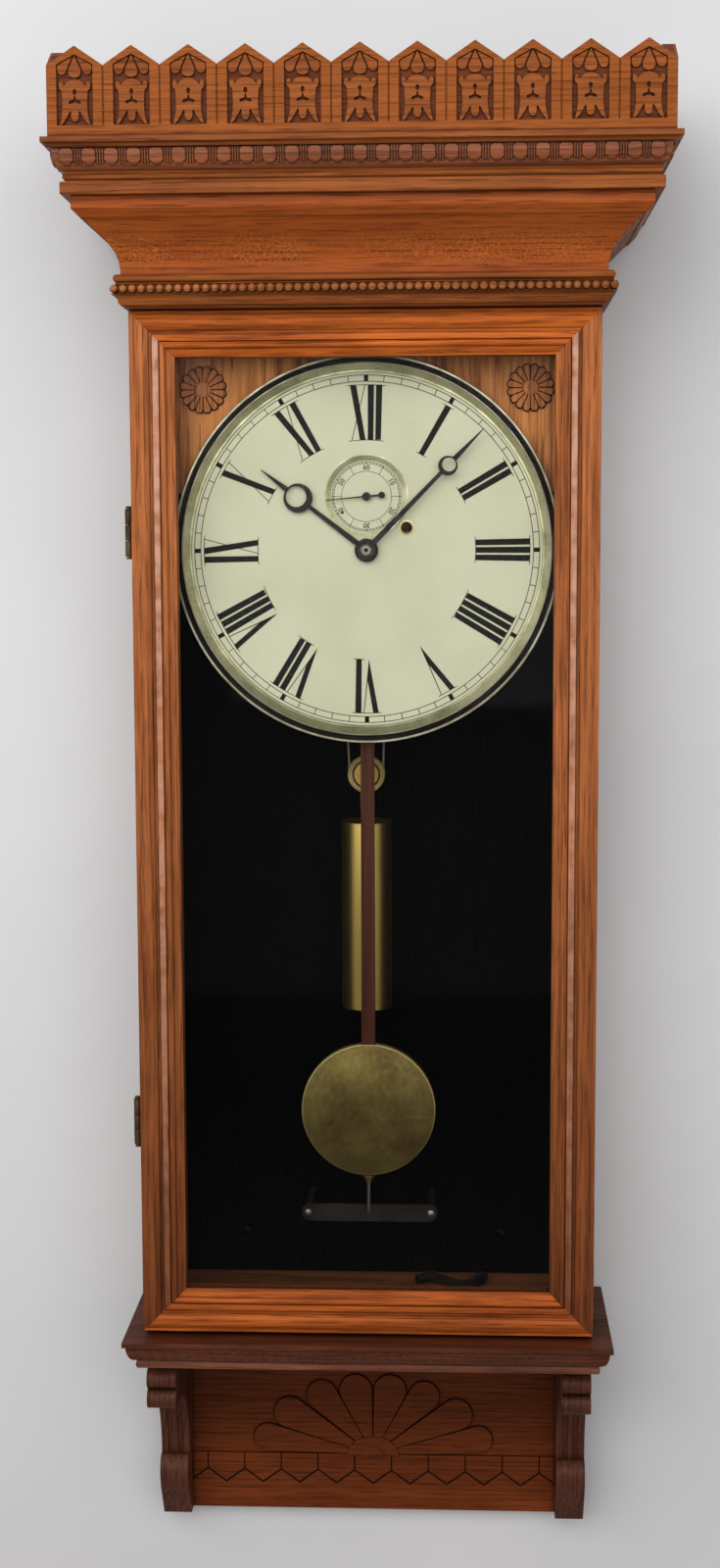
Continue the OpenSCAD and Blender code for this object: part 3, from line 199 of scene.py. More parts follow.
world = bpy.data.worlds.new("room_light")
bpy.context.scene.world = world
world.use_nodes = True
node = node_maker(world.node_tree)
even = node("Background", {"Color": (1, 1, 1, 1), "Strength": 0.3})
backdrop = node("Background", {"Color": colour(226, 226, 227)})
shown = node("MixShader", {0: seen_directly(node), 1: even.outputs[0], 2: backdrop.outputs[0]})
world.node_tree.links.new(shown.outputs[0],
                          world.node_tree.nodes["World Output"].inputs["Surface"])
bpy.context.scene.view_settings.view_transform = "Standard"

# THE CASE is an open oak box of glued boards: a back, two sides, a top and a floor, varnished
# outside and stained black inside. The grain of the sides stands, and that of the top lies.
half_w, foot_d, foot_up, crest_up = 200, 150.7, 202.7, 332.2
dial_up = -0.27
to_frame = Matrix.Translation((0, 0, dial_up)) @ Matrix.Scale(0.001, 4)


def bumped(node, height, strength, depth):
    """The tilt that a relief gives a surface."""
    return node("Bump", {"Height": height, "Strength": strength, "Distance": depth}).outputs[0]


def oak(name, along="Z", light=(174, 101, 52), dark=(116, 58, 27), shift=(0.07, 0.11, 0),
        corner_shade=0.55, gloss=0.42, shine=0.08, over=None, reach=0.009):
    """Varnished oak: growth rings cut by the surface, dark pores in them, and painted shade in the
    corners and creases. Where a coat lies over the wood, a function adds it."""
    material, node, place = new_finish(name)
    turn = {"X": (0, math.pi / 2, 0), "Y": (math.pi / 2, 0, 0), "Z": (0, 0, 0)}[along]
    grain = node("Mapping", {"Vector": place, "Rotation": turn, "Location": shift}).outputs[0]

    def drawn(length):
        return node("Mapping", {"Vector": grain, "Scale": (1, 1, length)}).outputs[0]
    rings = node("TexWave", {"Vector": drawn(0.06), "Scale": 62, "Distortion": 9, "Detail": 3,
                             "Detail Scale": 0.6, "Detail Roughness": 0.65},
                 wave_type="RINGS", rings_direction="Z", wave_profile="SAW").outputs["Fac"]
    streak = noise(node, drawn(0.07), 170, 4, 0.62)
    patch = noise(node, drawn(0.14), 40, 3)
    dash = noise(node, drawn(0.03), 1050, 1)
    tone = mixed(node, 0.72, steps(node, rings, (0, 0.75), (0.8, 0.4), (1, 0.2)), streak)
    tone = mixed(node, 0.4, tone, patch)
    wood = steps(node, tone, (0.38, colour(*dark)), (0.6, colour(*light)))
    pores = times(node, steps(node, dash, (0.42, 1.0), (0.52, 0.0)),
                  steps(node, rings, (0.3, 0.3), (0.8, 1.0)))
    wood = mixed(node, worked(node, "MULTIPLY", pores, 0.55), wood,
                 colour(*(0.5 * c for c in dark)))
    if over:
        wood = over(node, place, wood)
    # Painted shade: ambient occlusion darkens the corners, creases and grooves.
    corner = node("AmbientOcclusion", {"Distance": reach}, samples=5).outputs["AO"]
    wood = mixed(node, corner_shade, wood, steps(node, corner, (0.25, 0.12), (0.85, 1.0)), "MULTIPLY")
    node("shader", {"Base Color": wood,
                    "Roughness": steps(node, pores, (0, gloss), (1, gloss + 0.25)),
                    "Coat Weight": 0.15 * shine, "Coat Roughness": 0.25,
                    "Specular IOR Level": shine,
                    "Normal": bumped(node, worked(node, "ADD", dash, streak), 0.3, 0.0004)})
    return material


def stained(axis, limit):
    """The black stain inside the case: over the wood where the coordinate's size is under the
    limit, or where the coordinate itself is, if the limit is negative."""
    def over(node, place, wood):
        at = coordinate(node, place, axis)
        if limit > 0:
            at = worked(node, "ABSOLUTE", at)
        return mixed(node, worked(node, "LESS_THAN", at, limit), wood, colour(5, 5, 5))
    return over


def dress(name, finish, ease=0):
    """Gives a CAD solid its finish, and eases its edges by a few tenths of a millimetre."""
    solid = part[name]
    solid.data.materials.clear()
    solid.data.materials.append(finish)
    if ease:
        weld = solid.modifiers.new("weld", "WELD")
        weld.merge_threshold = 0.00001
        bevel = solid.modifiers.new("eased_edges", "BEVEL")
        bevel.width = ease / 1000
        bevel.segments = 2
        bevel.angle_limit = math.radians(35)


inside_of_side, front_of_back = 0.1843, -0.0132
side_oak = oak("side_oak", "Z", light=(158, 88, 45), dark=(104, 52, 25),
               over=stained("X", inside_of_side))
back_oak = oak("back_oak", "Z", light=(128, 86, 52), dark=(88, 56, 33), gloss=0.6, shine=0.005,
               over=stained("Y", front_of_back))
board_oak = oak("board_oak", "X", light=(150, 84, 43), dark=(102, 52, 25), shift=(0.2, 0.04, 0))
floor_oak = oak("floor_oak", "X", light=(118, 72, 42), dark=(84, 48, 28), gloss=0.45)
for name, finish, ease in (
        ("side_left", side_oak, 0.8), ("side_right", side_oak, 0.8), ("back_board", back_oak, 0.5),
        ("case_top", board_oak, 0.5), ("crown_core", board_oak, 0.5),
        ("case_floor", floor_oak, 0.5)):
    dress(name, finish, ease)

# THE DOOR FRAME is four lengths of one oak moulding, mitred at the corners: a rounded cushion
# outside, a raised fillet worn pale by years of handling and lit by a painted highlight, a bead and
# a sloping lip.
door_front, door_top, door_foot = 141.6, 201.7, -691.7


def arc(x, y, r, start, end, count=8):
    """Points along an arc."""
    angles = [math.radians(start + (end - start) * i / count) for i in range(count + 1)]
    return [(x + r * math.cos(a), y + r * math.sin(a)) for a in angles]


def swelling(u0, u1, base, rise, count=12):
    """A rounded swelling over the line from u0 to u1, towards smaller depths."""
    half = (u1 - u0) / 2
    r = (half * half + rise * rise) / (2 * rise)
    spread = 90 if rise >= half else math.degrees(math.asin(half / r))
    return arc((u0 + u1) / 2, base - rise + r, r, 270 - spread, 270 + spread, count)


def planed(shape, outline, place, run, cuts, material=0):
    """A moulding planed to an outline: its points are placed by one function, drawn out along
    the run, and sawn off at each cut, which is a point and the direction of the waste."""
    face = shape.faces.new([shape.verts.new(place(u, v)) for u, v in outline])
    drawn = bmesh.ops.extrude_face_region(shape, geom=[face])
    moved = [g for g in drawn["geom"] if isinstance(g, bmesh.types.BMVert)]
    bmesh.ops.translate(shape, verts=moved, vec=run)
    group = {face} | {f for v in moved for f in v.link_faces}
    group |= {f for g in list(group) for v in g.verts for f in v.link_faces}
    for point, waste in cuts:
        mesh = list(group) + list({e for f in group for e in f.edges}) \
            + list({v for f in group for v in f.verts})
        done = bmesh.ops.bisect_plane(shape, geom=mesh, dist=0.0001, plane_co=point,
                                      plane_no=waste, clear_outer=True)
        rim = [g for g in done["geom_cut"] if isinstance(g, bmesh.types.BMEdge)]
        cap = bmesh.ops.holes_fill(shape, edges=rim, sides=0)["faces"]
        group = {f for f in group if f.is_valid} | set(cap)
        group |= {f for g in list(group) for v in g.verts for f in v.link_faces}
    for face in group:
        face.material_index = material


# A face of so many corners is the flat top of a carving, and smooth shading would streak it.
corners_of_a_flat = 12


def piece(name, shape, body, finishes, stands_for=(), sharp=32, ease=0):
    """Puts a finished shape, drawn in millimetres from the dial centre, into the clock. It
    follows a body, or none."""
    bmesh.ops.recalc_face_normals(shape, faces=shape.faces)
    shape.transform(to_frame)
    for face in shape.faces:
        face.smooth = len(face.verts) < corners_of_a_flat
    for edge in shape.edges:
        edge.smooth = edge.is_manifold and edge.calc_face_angle(0) < math.radians(sharp)
    mesh = bpy.data.meshes.new(name)
    shape.to_mesh(mesh)
    shape.free()
    made = bpy.data.objects.new(name, mesh)
    bpy.context.collection.objects.link(made)
    for finish in finishes:
        mesh.materials.append(finish)
    if ease:
        bevel = made.modifiers.new("eased_edges", "BEVEL")
        bevel.width = ease / 1000
        bevel.segments = 2
        bevel.angle_limit = math.radians(38)
    made.modifiers.new("even_shading", "WEIGHTED_NORMAL").keep_sharp = True
    if body:
        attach(made, body)
    if stands_for:
        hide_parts(*stands_for)
    return made


frame_moulding = ([(0, 22), (0, 3), (2.5, 3)] + swelling(2.5, 16.3, 3, 3)[1:]
                  + [(16.6, 4.2), (19.2, 4.2), (19.4, 2.2)] + arc(20.6, 2.8, 1, 180, 270, 3)
                  + [(24.4, 1.8)] + arc(24.5, 2.8, 1, 270, 360, 3)
                  + swelling(25.7, 31.4, 3.4, 2.85)
                  + [(32, 3.8), (38.5, 5.6), (38.5, 8), (30, 8), (30, 22)])
fillet_at, half_fillet = 0.1778, 0.0027


def aged(foot, rubbed=0):
    """Wood painted darker towards the foot as shade, its fillet rubbed pale and given a painted
    highlight that fades towards the foot.
    """
    def over(node, place, wood):
        low = way(node, place, "Z", -0.98, -0.25)
        # Painted shade: the wood darkens towards the foot.
        wood = times(node, wood, steps(node, low, (0, foot), (0.9, 1)))
        off = worked(node, "SUBTRACT", worked(node, "ABSOLUTE", coordinate(node, place, "X")),
                     fillet_at)
        fillet = worked(node, "LESS_THAN", worked(node, "ABSOLUTE", off), half_fillet)
        # The fillet is rubbed pale and also carries a painted highlight, strongest high up.
        wear_and_highlight = steps(node, noise(node, place, 70, 4), (0.35, 0.25 * rubbed), (0.62, rubbed))
        return mixed(node, times(node, fillet, times(node, wear_and_highlight, low)), wood,
                     colour(204, 156, 132))
    return over


stile_oak = oak("stile_oak", "Z", light=(190, 112, 62), dark=(130, 70, 34), shift=(0.05, 0.03, 0),
                over=aged((0.31, 0.26, 0.25, 1), 0.9), corner_shade=0.9, reach=0.0045)
rail_oak = oak("rail_oak", "X", light=(206, 106, 38), dark=(138, 64, 21), shift=(0.02, 0.09, 0),
               over=aged((0.74, 0.72, 0.8, 1)), corner_shade=0.9, reach=0.0045)
for name, side in (("door_stile_left", -1), ("door_stile_right", 1)):
    stile = bmesh.new()
    planed(stile, frame_moulding, lambda u, v: (side * (half_w - u), v - door_front, door_foot),
           (0, 0, door_top - door_foot),
           [((side * half_w, 0, door_top), (-side, 0, 1)),
            ((side * half_w, 0, door_foot), (-side, 0, -1))])
    piece(name + "_moulding", stile, "door", [stile_oak], [name], ease=0.35)
for name, edge, side in (("door_rail_top", door_top, 1), ("door_rail_bottom", door_foot, -1)):
    rail = bmesh.new()
    planed(rail, frame_moulding, lambda u, v: (-half_w, v - door_front, edge - side * u),
           (2 * half_w, 0, 0),
           [((half_w, 0, edge), (1, 0, -side)), ((-half_w, 0, edge), (-1, 0, -side))])
    piece(name + "_moulding", rail, "door", [rail_oak], [name], ease=0.35)
dress("glass_beads", stile_oak, 0.6)

# THE CROWN stands on the case: a bead moulding, a deep cove, a flat band and an egg moulding,
# each run round the front and both sides of a hollow core and mitred at the corners.
crown_oak = [oak("crown_oak_lying", "X", light=(159, 88, 38), dark=(105, 51, 19),
                 shift=(0.31, 0.02, 0)),
             oak("crown_oak_return", "Y", light=(152, 84, 36), dark=(101, 49, 19),
                 shift=(0.1, 0.05, 0))]


def wrapped(shape, outline, w0, d0, up=0, reach=90):
    """A moulding of an outline of reach and height, run round the front and both ends."""
    planed(shape, outline, lambda r, h: (-w0 - reach, -d0 - r, up + h), (2 * (w0 + reach), 0, 0),
           [((w0, -d0, 0), (1, 1, 0)), ((-w0, -d0, 0), (-1, 1, 0))])
    for side in (-1, 1):
        planed(shape, outline, lambda r, h: (side * (w0 + r), 0, up + h), (0, -d0 - reach, 0),
               [((side * w0, -d0, 0), (-side, -1, 0))], material=1)


def in_a_row(width, depth, pitch, first=0):
    """Where carved pieces stand in a row round the front and both sides, a whole number of them
    on each, the first some part of a pitch from the corner."""
    count = round(2 * width / pitch)
    for i in range(round(count - 2 * first) + 1):
        yield Matrix.Translation((width * (2 * (first + i) / count - 1), -depth, 0))
    count, i = round(depth / pitch), first or 1
    while i < count - 0.4:
        for side in (-1, 1):
            yield (Matrix.Translation((side * width, depth * (i / count - 1), 0))
                   @ Matrix.Rotation(side * math.pi / 2, 4, "Z"))
        i += 1


def stamped(shape, figure, spots=(Matrix.Identity(4),), material=0):
    """Sets copies of a figure into a shape, one at each of its places."""
    bmesh.ops.recalc_face_normals(figure, faces=figure.faces)
    for face in figure.faces:
        face.material_index = material
    stamp = bpy.data.meshes.new("stamp")
    figure.to_mesh(stamp)
    figure.free()
    for spot in spots:
        stamp.transform(spot)
        shape.from_mesh(stamp)
        stamp.transform(spot.inverted())
    bpy.data.meshes.remove(stamp)


# The bead moulding: an ogee foot, a string of small turned beads in a groove, and a torus.
bead_oak = oak("bead_oak", "X", light=(184, 112, 60), dark=(128, 72, 38), corner_shade=1.0,
               reach=0.005)
bead_foot = bmesh.new()
wrapped(bead_foot, [(0, 0), (0.8, 0), (1.4, 1.6)] + arc(1.4, 5.4, 4.4, -60, 0, 6)
        + arc(10.4, 5.8, 4.6, 180, 100, 6) + [(11, 10.4), (9.4, 10.8), (5.8, 11.2), (5.8, 18.4),
                                              (8, 18.8), (8, 19.8), (6, 20.2)]
        + arc(6, 23.6, 3.4, -90, 90, 10) + [(0, 27)], half_w, foot_d, foot_up)
bead = bmesh.new()
bead_out, bead_up, bead_pitch = 8.6, 14.8, 7.66
bmesh.ops.create_uvsphere(bead, u_segments=10, v_segments=6, radius=3.6,
                          matrix=Matrix.Translation((0, 0, foot_up + bead_up)))
stamped(bead_foot, bead, in_a_row(half_w + bead_out, foot_d + bead_out, bead_pitch), 2)
piece("bead_run", bead_foot, "case", crown_oak + [bead_oak], ["bead_moulding"], ease=0.25)

# The cove: a hollow quarter round that opens into a slope. Its thick varnish has crazed into a
# fine pale net over the middle of the front.
def crazed(node, place, wood):
    """Fine pale cracks in a patchy belt of the cove."""
    ragged = node("TexNoise", {"Vector": place, "Scale": 90}).outputs["Color"]
    cells = node("TexVoronoi", {"Vector": mixed(node, 0.012, place, ragged), "Scale": 230},
                 feature="DISTANCE_TO_EDGE").outputs["Distance"]
    belt = steps(node, way(node, place, "Z", -0.04, -0.004), (0.05, 0.0), (0.35, 1.0),
                 (0.75, 0.9), (0.95, 0.0))
    some = steps(node, noise(node, place, 14, 2), (0.32, 0.3), (0.6, 1.0))
    amount = times(node, times(node, steps(node, cells, (0, 0.6), (0.085, 0.0)), belt), some)
    return mixed(node, amount, wood, colour(196, 122, 64))


cove = bmesh.new()
wrapped(cove, [(0, 27), (3.7, 27)] + arc(37.7, 29, 34, 180, 135, 14)
        + [(30.66, 70.04), (31.7, 69.2), (38.5, 76), (38.5, 86.1), (22.5, 86.1), (0, 56.1)],
        half_w, foot_d, foot_up)
cove_oak = oak("cove_oak", "X", light=(172, 86, 33), dark=(144, 67, 24), shift=(0.11, 0.06, 0),
               over=crazed)
piece("cove_run", cove, "case", [cove_oak, crown_oak[1]], ["cove_moulding"], ease=0.4)

# The band and the cap are plain boards; between them runs an ovolo carved with rounded eggs,
# parted by groups of three thin bars, under a heavy lip.
dress("crown_boards", crown_oak[0], 1.1)
egg_up, egg_out, egg_pitch, carved_low, carved_high = 299, 48, 18.4, 8, 25.5
egg_run = bmesh.new()
wrapped(egg_run, [(32, 0), (42, 0), (42, 1.2)] + arc(41.2, 3.8, 2.6, -70, 70, 8)
        + [(43.1 + 8 * x, 25 + 16.6 * y) for x, y in arc(0, 0, 1, -90, 0, 8)]
        + [(54.5, 25.7), (54.5, 26.2)] + arc(58.2, 25.6, 3.2, 170, 90, 6)
        + [(58.9, 28.9), (58.9, 33.2), (32, 33.2)], half_w, foot_d, egg_up)
for face in egg_run.faces:
    if carved_low < face.calc_center_median().z - egg_up < carved_high:
        face.material_index = 2
for first, wide, out, down, across in ((0.5, 11.6, 10.6, 18.8, [0]),
                                       (1, 1.3, 9.7, 18, [-2.2, 0, 2.2])):
    curve = [(43.1 + out * x, 25 + down * y) for x, y in arc(0, 0, 1, -44, 0, 7)]
    is_egg = across == [0]
    barrel = bmesh.new()
    planed(barrel, curve + [(46, 25), (46, curve[0][1])],
           lambda r, h: (-wide / 2, egg_out - r, egg_up + h), (wide, 0, 0),
           [((side * wide / 2, 0, egg_up + h), (side, 0, down)) for side in (-1, 1)
            for h, down in ((15.4, -1), (22.8, 1)) if is_egg])
    bmesh.ops.recalc_face_normals(barrel, faces=barrel.faces)
    bmesh.ops.bevel(barrel, affect="EDGES", offset=2.2 if is_egg else 0.4, profile=0.5,
                    segments=3 if is_egg else 1, material=-1, clamp_overlap=True, geom=[
                        e for e in barrel.edges if e.calc_face_angle(0) > 0.6
                        and all(v.co.y < -1 for v in e.verts)])
    stamped(egg_run, barrel, [spot @ Matrix.Translation((offset, 0, 0)) for offset in across
                              for spot in in_a_row(half_w + egg_out, foot_d + egg_out,
                                                   egg_pitch, first)], 2)
egg_oak = oak("egg_oak", "X", light=(152, 84, 48), dark=(98, 52, 31), corner_shade=1.0, shine=0.2,
              reach=0.005)
piece("egg_run", egg_run, "case", crown_oak + [egg_oak], ["egg_moulding"], ease=0.3)

# THE CREST is a board sawn into gabled pickets. In the sunk panel of each a carver left a fan
# of three petals over a lyre with two ears, a key hole and a forked foot.


sunk_from, sunk_side, seam_shadow_up = -0.2022, 0.2515, 0.0648


def grimy(node, place, wood):
    """A darker, purplish tone over the sunk parts of the crest, and painted shadow in the seam at
    its foot.
    """
    sunk = worked(node, "GREATER_THAN", coordinate(node, place, "Y"), sunk_from)
    side = worked(node, "LESS_THAN", worked(node, "ABSOLUTE", coordinate(node, place, "X")),
                  sunk_side)
    # Painted shadow: a dark band along the foot of the fence, just above the lip.
    seam_shadow = worked(node, "LESS_THAN", coordinate(node, place, "Z"), seam_shadow_up)
    amount = worked(node, "MAXIMUM", times(node, sunk, side), seam_shadow)
    return mixed(node, amount, wood, times(node, wood, (0.5, 0.44, 0.62, 1)))


crest_oak = oak("crest_oak", "X", light=(159, 85, 31), dark=(137, 71, 24), shift=(0.05, 0.17, 0),
                corner_shade=0.7, over=grimy)
dress("crest_fence", crest_oak, 0.4)
fence_w, fence_front, pickets, side_pickets = 253.7, 204.4, 11, 4


def carved(shape, outline, holes, base, top, spots=(Matrix.Identity(4),), round_over=0.6,
           material=0):
    """A raised figure of an outline and holes across and up, from a base to a top depth, with
    its upper edge rounded over, set at each of its places."""
    figure = bmesh.new()
    edges = []
    for loop in [outline] + list(holes):
        points = [figure.verts.new((x, -base, z)) for x, z in loop]
        edges += [figure.edges.new((a, b)) for a, b in zip(points, points[1:] + points[:1])]
    bmesh.ops.triangle_fill(figure, use_beauty=True, use_dissolve=True, edges=edges)
    drawn = bmesh.ops.extrude_face_region(figure, geom=figure.faces[:])
    moved = [g for g in drawn["geom"] if isinstance(g, bmesh.types.BMVert)]
    bmesh.ops.translate(figure, verts=moved, vec=(0, base - top, 0))
    bmesh.ops.recalc_face_normals(figure, faces=figure.faces)
    if round_over:
        rim = [e for e in figure.edges if e.is_manifold and e.calc_face_angle(0) > 1
               and all(abs(v.co.y + top) < 0.001 for v in e.verts)]
        bmesh.ops.bevel(figure, geom=rim, offset=round_over, segments=2, affect="EDGES",
                        profile=0.5, material=-1)
    stamped(shape, figure, spots, material)


def mirrored(points):
    """An outline's right half, from top to foot, with its left half added."""
    return points + [(-x, z) for x, z in reversed(points) if x > 0.001]


petal = mirrored([(0, 64.4), (1.2, 62), (3.6, 56.5), (5.1, 53.2), (5.3, 51.4), (4.6, 48.8),
                  (2.8, 47.2), (0, 46.6)])
wing = [(2.1, 63.2), (13.9, 56.9), (14.1, 52.8), (13.2, 50.6), (11.6, 49.4), (9.4, 49.4),
        (7.6, 50.4), (6.5, 52.2), (6, 54), (4.6, 57.2), (2.9, 61)]
lyre = mirrored([(0, 45.9), (3.5, 45.3), (6.3, 43.7), (8.1, 41.5), (8.7, 40.4), (9.1, 41.8),
                 (10.2, 43.8), (11.6, 44.2), (12.9, 42.6), (13, 39.8), (12.2, 37.8), (11, 36.9),
                 (10.7, 35.4), (10.4, 30), (10.2, 25), (10.5, 20), (11.2, 15), (12.4, 10.6),
                 (12.5, 9.6), (11, 9.6), (8.6, 12.6), (6.2, 16.4), (4.7, 19.2), (3.8, 20.8),
                 (3.2, 19.4), (3.3, 17), (2.9, 14.4), (1.6, 12.8), (0, 12.4)])
key_hole = [(1.5 * x, 35.6 + 2.4 * z) for x, z in arc(0, 0, 1, 0, 315, 7)]
fork = [(-0.5, 32.4), (0.5, 32.4), (0.7, 29.8), (4.6, 28.3), (4.9, 26.7), (3.6, 26.3), (0, 27.6),
        (-3.6, 26.3), (-4.9, 26.7), (-4.6, 28.3), (-0.7, 29.8)]
pitch = 2 * fence_w / pickets
crest = bmesh.new()
spots = [Matrix.Translation(((i + 0.5) * pitch - fence_w, -fence_front, crest_up))
         for i in range(pickets)]
for side in (-1, 1):
    spots += [Matrix.Translation((side * fence_w, (i + 0.5) * pitch - fence_front, crest_up))
              @ Matrix.Rotation(side * math.pi / 2, 4, "Z") for i in range(side_pickets)]
for outline, holes, top in ((petal, [], -0.5), (wing, [], -0.8),
                            ([(-x, z) for x, z in reversed(wing)], [], -0.8),
                            (lyre, [key_hole, fork], -0.4)):
    carved(crest, outline, holes, -3.4, top, spots, 0.35)
piece("crest_carving", crest, "case", [oak("carved_oak", "X", light=(159, 87, 35),
                                           dark=(124, 62, 24), corner_shade=0.8)], sharp=50)

# THE SHELF closes the case below: a board with a moulded and faintly carved edge over a thinner
# rounded one. The lower oak is redder and darker than the case.
shelf_up, apron_up, apron_foot, shelf_d = -695.7, -722.9, -912.9, 143.4
low_oak = oak("low_oak", "X", light=(98, 50, 28), dark=(60, 28, 15), shift=(0.13, 0.21, 0),
              corner_shade=0.7, shine=0.12)
dress("base_shelf", low_oak, 0.7)
dress("shelf_underboard", oak("under_oak", "X", light=(132, 80, 58), dark=(90, 51, 37)), 0.5)
worn_eggs = bmesh.new()
worn_out, worn_down, worn_pitch, worn_size = 12.2, 12, 11.3, (4.7, 0.9, 6.2, 1)
egg = bmesh.new()
bmesh.ops.create_uvsphere(egg, u_segments=12, v_segments=6, radius=1, matrix=(
    Matrix.Translation((0, 0, shelf_up - worn_down)) @ Matrix.Rotation(math.radians(20), 4, "X")
    @ Matrix.Diagonal(worn_size)))
stamped(worn_eggs, egg, in_a_row(half_w + worn_out, shelf_d + worn_out, worn_pitch, 0.5))
piece("shelf_eggs", worn_eggs, "case", [low_oak])

# THE BRACKETS are sawn from thick oak: two rolls at the top, a hollow neck with two flutes
# carved down it, and a bellied foot.
bracket_oak = oak("bracket_oak", "Z", light=(88, 48, 32), dark=(56, 28, 20), shift=(0.3, 0.1, 0),
                  corner_shade=0.9, shine=0.1)
bracket = ([(0, 0), (117.7, 0), (117.7, -10.2)] + arc(120.7, -19.5, 9.3, 90, -80, 16)
           + arc(120.7, -38.1, 9.3, 80, -90, 16)
           + [(104 + 64 * x, -125.5 + 78.1 * y) for x, y in arc(0, 0, 1, 90, 180, 18)]
           + [(46, -125.5), (51, -129.2), (54, -136.7), (54, -144.2), (50.5, -155.2), (30, -190),
              (0, -190)])
bracket_w, flute_top, flute_foot = 26.5, -50, -123
for name, start in (("bracket_left", -199.5), ("bracket_right", 173)):
    scroll = bmesh.new()
    planed(scroll, bracket, lambda u, v: (start, -u, apron_up + v), (bracket_w, 0, 0), [])
    for across_neck in (6, 11, 15.5, 20.5):
        bmesh.ops.bisect_plane(scroll, geom=scroll.faces[:] + scroll.edges[:] + scroll.verts[:],
                               plane_co=(start + across_neck, 0, 0), plane_no=(1, 0, 0))
    bmesh.ops.recalc_face_normals(scroll, faces=scroll.faces)
    for flute in (8.5, 18):
        bmesh.ops.inset_region(scroll, thickness=0.9, depth=-1.6, use_even_offset=True, faces=[
            f for f in scroll.faces if abs(f.calc_center_median().x - start - flute) < 2.6
            and flute_foot < f.calc_center_median().z - apron_up < flute_top
            and f.normal.y < -0.1 and abs(f.normal.x) < 0.1])
    piece(name + "_scroll", scroll, "case", [bracket_oak], [name], ease=0.7)

# THE APRON is one wide dark board. A fan of eight low petals rises from a half round hub, over
# a row of nine pointed pendants with half a pendant at each end. Dark plates just larger than
# each figure lie under them, painted shade that draws the lines round them.


def faded(node, place, wood):
    """The apron is painted darker towards its top, as the shelf's shade, and so is paler towards
    its foot.
    """
    return times(node, wood, steps(node, way(node, place, "Z", -1.17, -1.08),
                                   (0, 1), (1, (0.58, 0.6, 0.66, 1))))


apron_oak = oak("apron_oak", "X", light=(117, 55, 24), dark=(93, 42, 16), shift=(0.4, 0.3, 0),
                corner_shade=0.9, shine=0.05, over=faded, reach=0.006)
# Painted shade: a near black oak for the plates that outline the carvings.
line_shade = oak("shade_in_the_lines", "X", light=(38, 20, 12), dark=(26, 13, 8), shine=0.02)
apron_w, apron_t, fan_down, line_out = 346, 16, 135, 0.8
apron = bmesh.new()
bmesh.ops.create_cube(apron, size=1, matrix=Matrix.Translation(
    (0, -apron_t / 2, (apron_up + apron_foot) / 2)) @ Matrix.Diagonal(
        (apron_w, apron_t, apron_up - apron_foot, 1)))
fan = Matrix.Translation((0, 0, apron_up - fan_down))
hub = arc(0, 0, 1, 0, 180, 20)
hub_w, hub_h, boss_w, boss_h, neck_up = 24.8, 18.4, 11, 8.4, 14
pendant_w, pendant_side, pendant_tip, pendant_pitch = 17.2, 15.4, 28, 35.2
half_from, half_to = 158.8, 172.9
# The first pass lays a slightly larger dark plate under each figure, as painted shade in its
# outline.
for wide, base, top, material in ((line_out, 15.9, 16.15, 1), (0, 16, 18.9, 0)):
    round_over = 0 if material else 0.8
    for reach, r, lean in ((101.8, 13.2, 9.2), (89.2, 15.3, 27.3), (76.2, 14.6, 50.2),
                           (65.8, 15.4, 75.6)):
        half = math.degrees(math.asin((r + wide) / reach))
        neck = neck_up * math.tan(math.radians(half))
        leaf = [(neck_up, -neck), *arc(reach, 0, r + wide, -90 - half, 90 + half, 14),
                (neck_up, neck)]
        for side in (-1, 1):
            carved(apron, [(side * x, z) for x, z in leaf], [], base, top,
                   [fan @ Matrix.Rotation(math.radians(-side * lean), 4, "Y")], round_over,
                   material)
    carved(apron, [((hub_w + wide) * x, (hub_h + wide) * z) for x, z in hub], [],
           base + 1.2 * wide, top + 1.1, [fan], round_over, material)
    top -= 1.2 * (1 - material)
    side_foot, tip_foot = -pendant_side - 2.4 * wide, -pendant_tip - 3.2 * wide
    out = pendant_w + wide / 2
    carved(apron, [(-out, wide / 2), (-out, side_foot), (0, tip_foot), (out, side_foot),
                   (out, wide / 2)], [], base, top,
           [fan @ Matrix.Translation((pendant_pitch * i, 0, 0)) for i in range(-4, 5)],
           round_over, material)
    for side in (-1, 1):
        carved(apron, [(side * x, z) for x, z in (
            (half_from - wide / 2, wide / 2), (half_from - wide / 2, side_foot),
            (half_to, tip_foot + 2.3), (half_to, wide / 2))], [], base, top, [fan], round_over,
               material)
carved(apron, [(boss_w * x, boss_h * z) for x, z in hub], [], 19.9, 20.9, [fan], 0.5)
piece("apron_carving", apron, "case", [apron_oak, line_shade], ["apron_panel"])

# BEHIND THE DIAL a thin board of paler oak fills the corners of the door opening. On it sit two
# rosettes of sixteen petals round a boss.
spandrel_oak = oak("spandrel_oak", "Z", light=(216, 142, 76), dark=(142, 82, 42),
                   shift=(0.15, 0.35, 0), corner_shade=0.4)
rosette_oak = oak("rosette_oak", "Z", light=(186, 115, 64), dark=(136, 81, 45), corner_shade=1.0,
                  reach=0.0035)
dress("dial_board", spandrel_oak, 0.3)


def turned(shape, outline, centre=(0, 0, 0), count=96):
    """A shape turned from an outline of radii and depths towards the front. An outline that
    starts and ends on the axis makes a solid."""
    lathe = bmesh.new()
    points = [lathe.verts.new((r, -depth, 0)) for r, depth in outline]
    pairs = list(zip(points, points[1:] + points[:1]))
    if abs(outline[0][0]) + abs(outline[-1][0]) < 0.001:
        pairs.pop()
    edges = [lathe.edges.new(pair) for pair in pairs]
    bmesh.ops.spin(lathe, geom=points + edges, cent=(0, 0, 0), angle=2 * math.pi, steps=count,
                   axis=(0, 1, 0), use_merge=True)
    bmesh.ops.remove_doubles(lathe, verts=lathe.verts, dist=0.0005)
    stamped(shape, lathe, [Matrix.Translation(centre)])


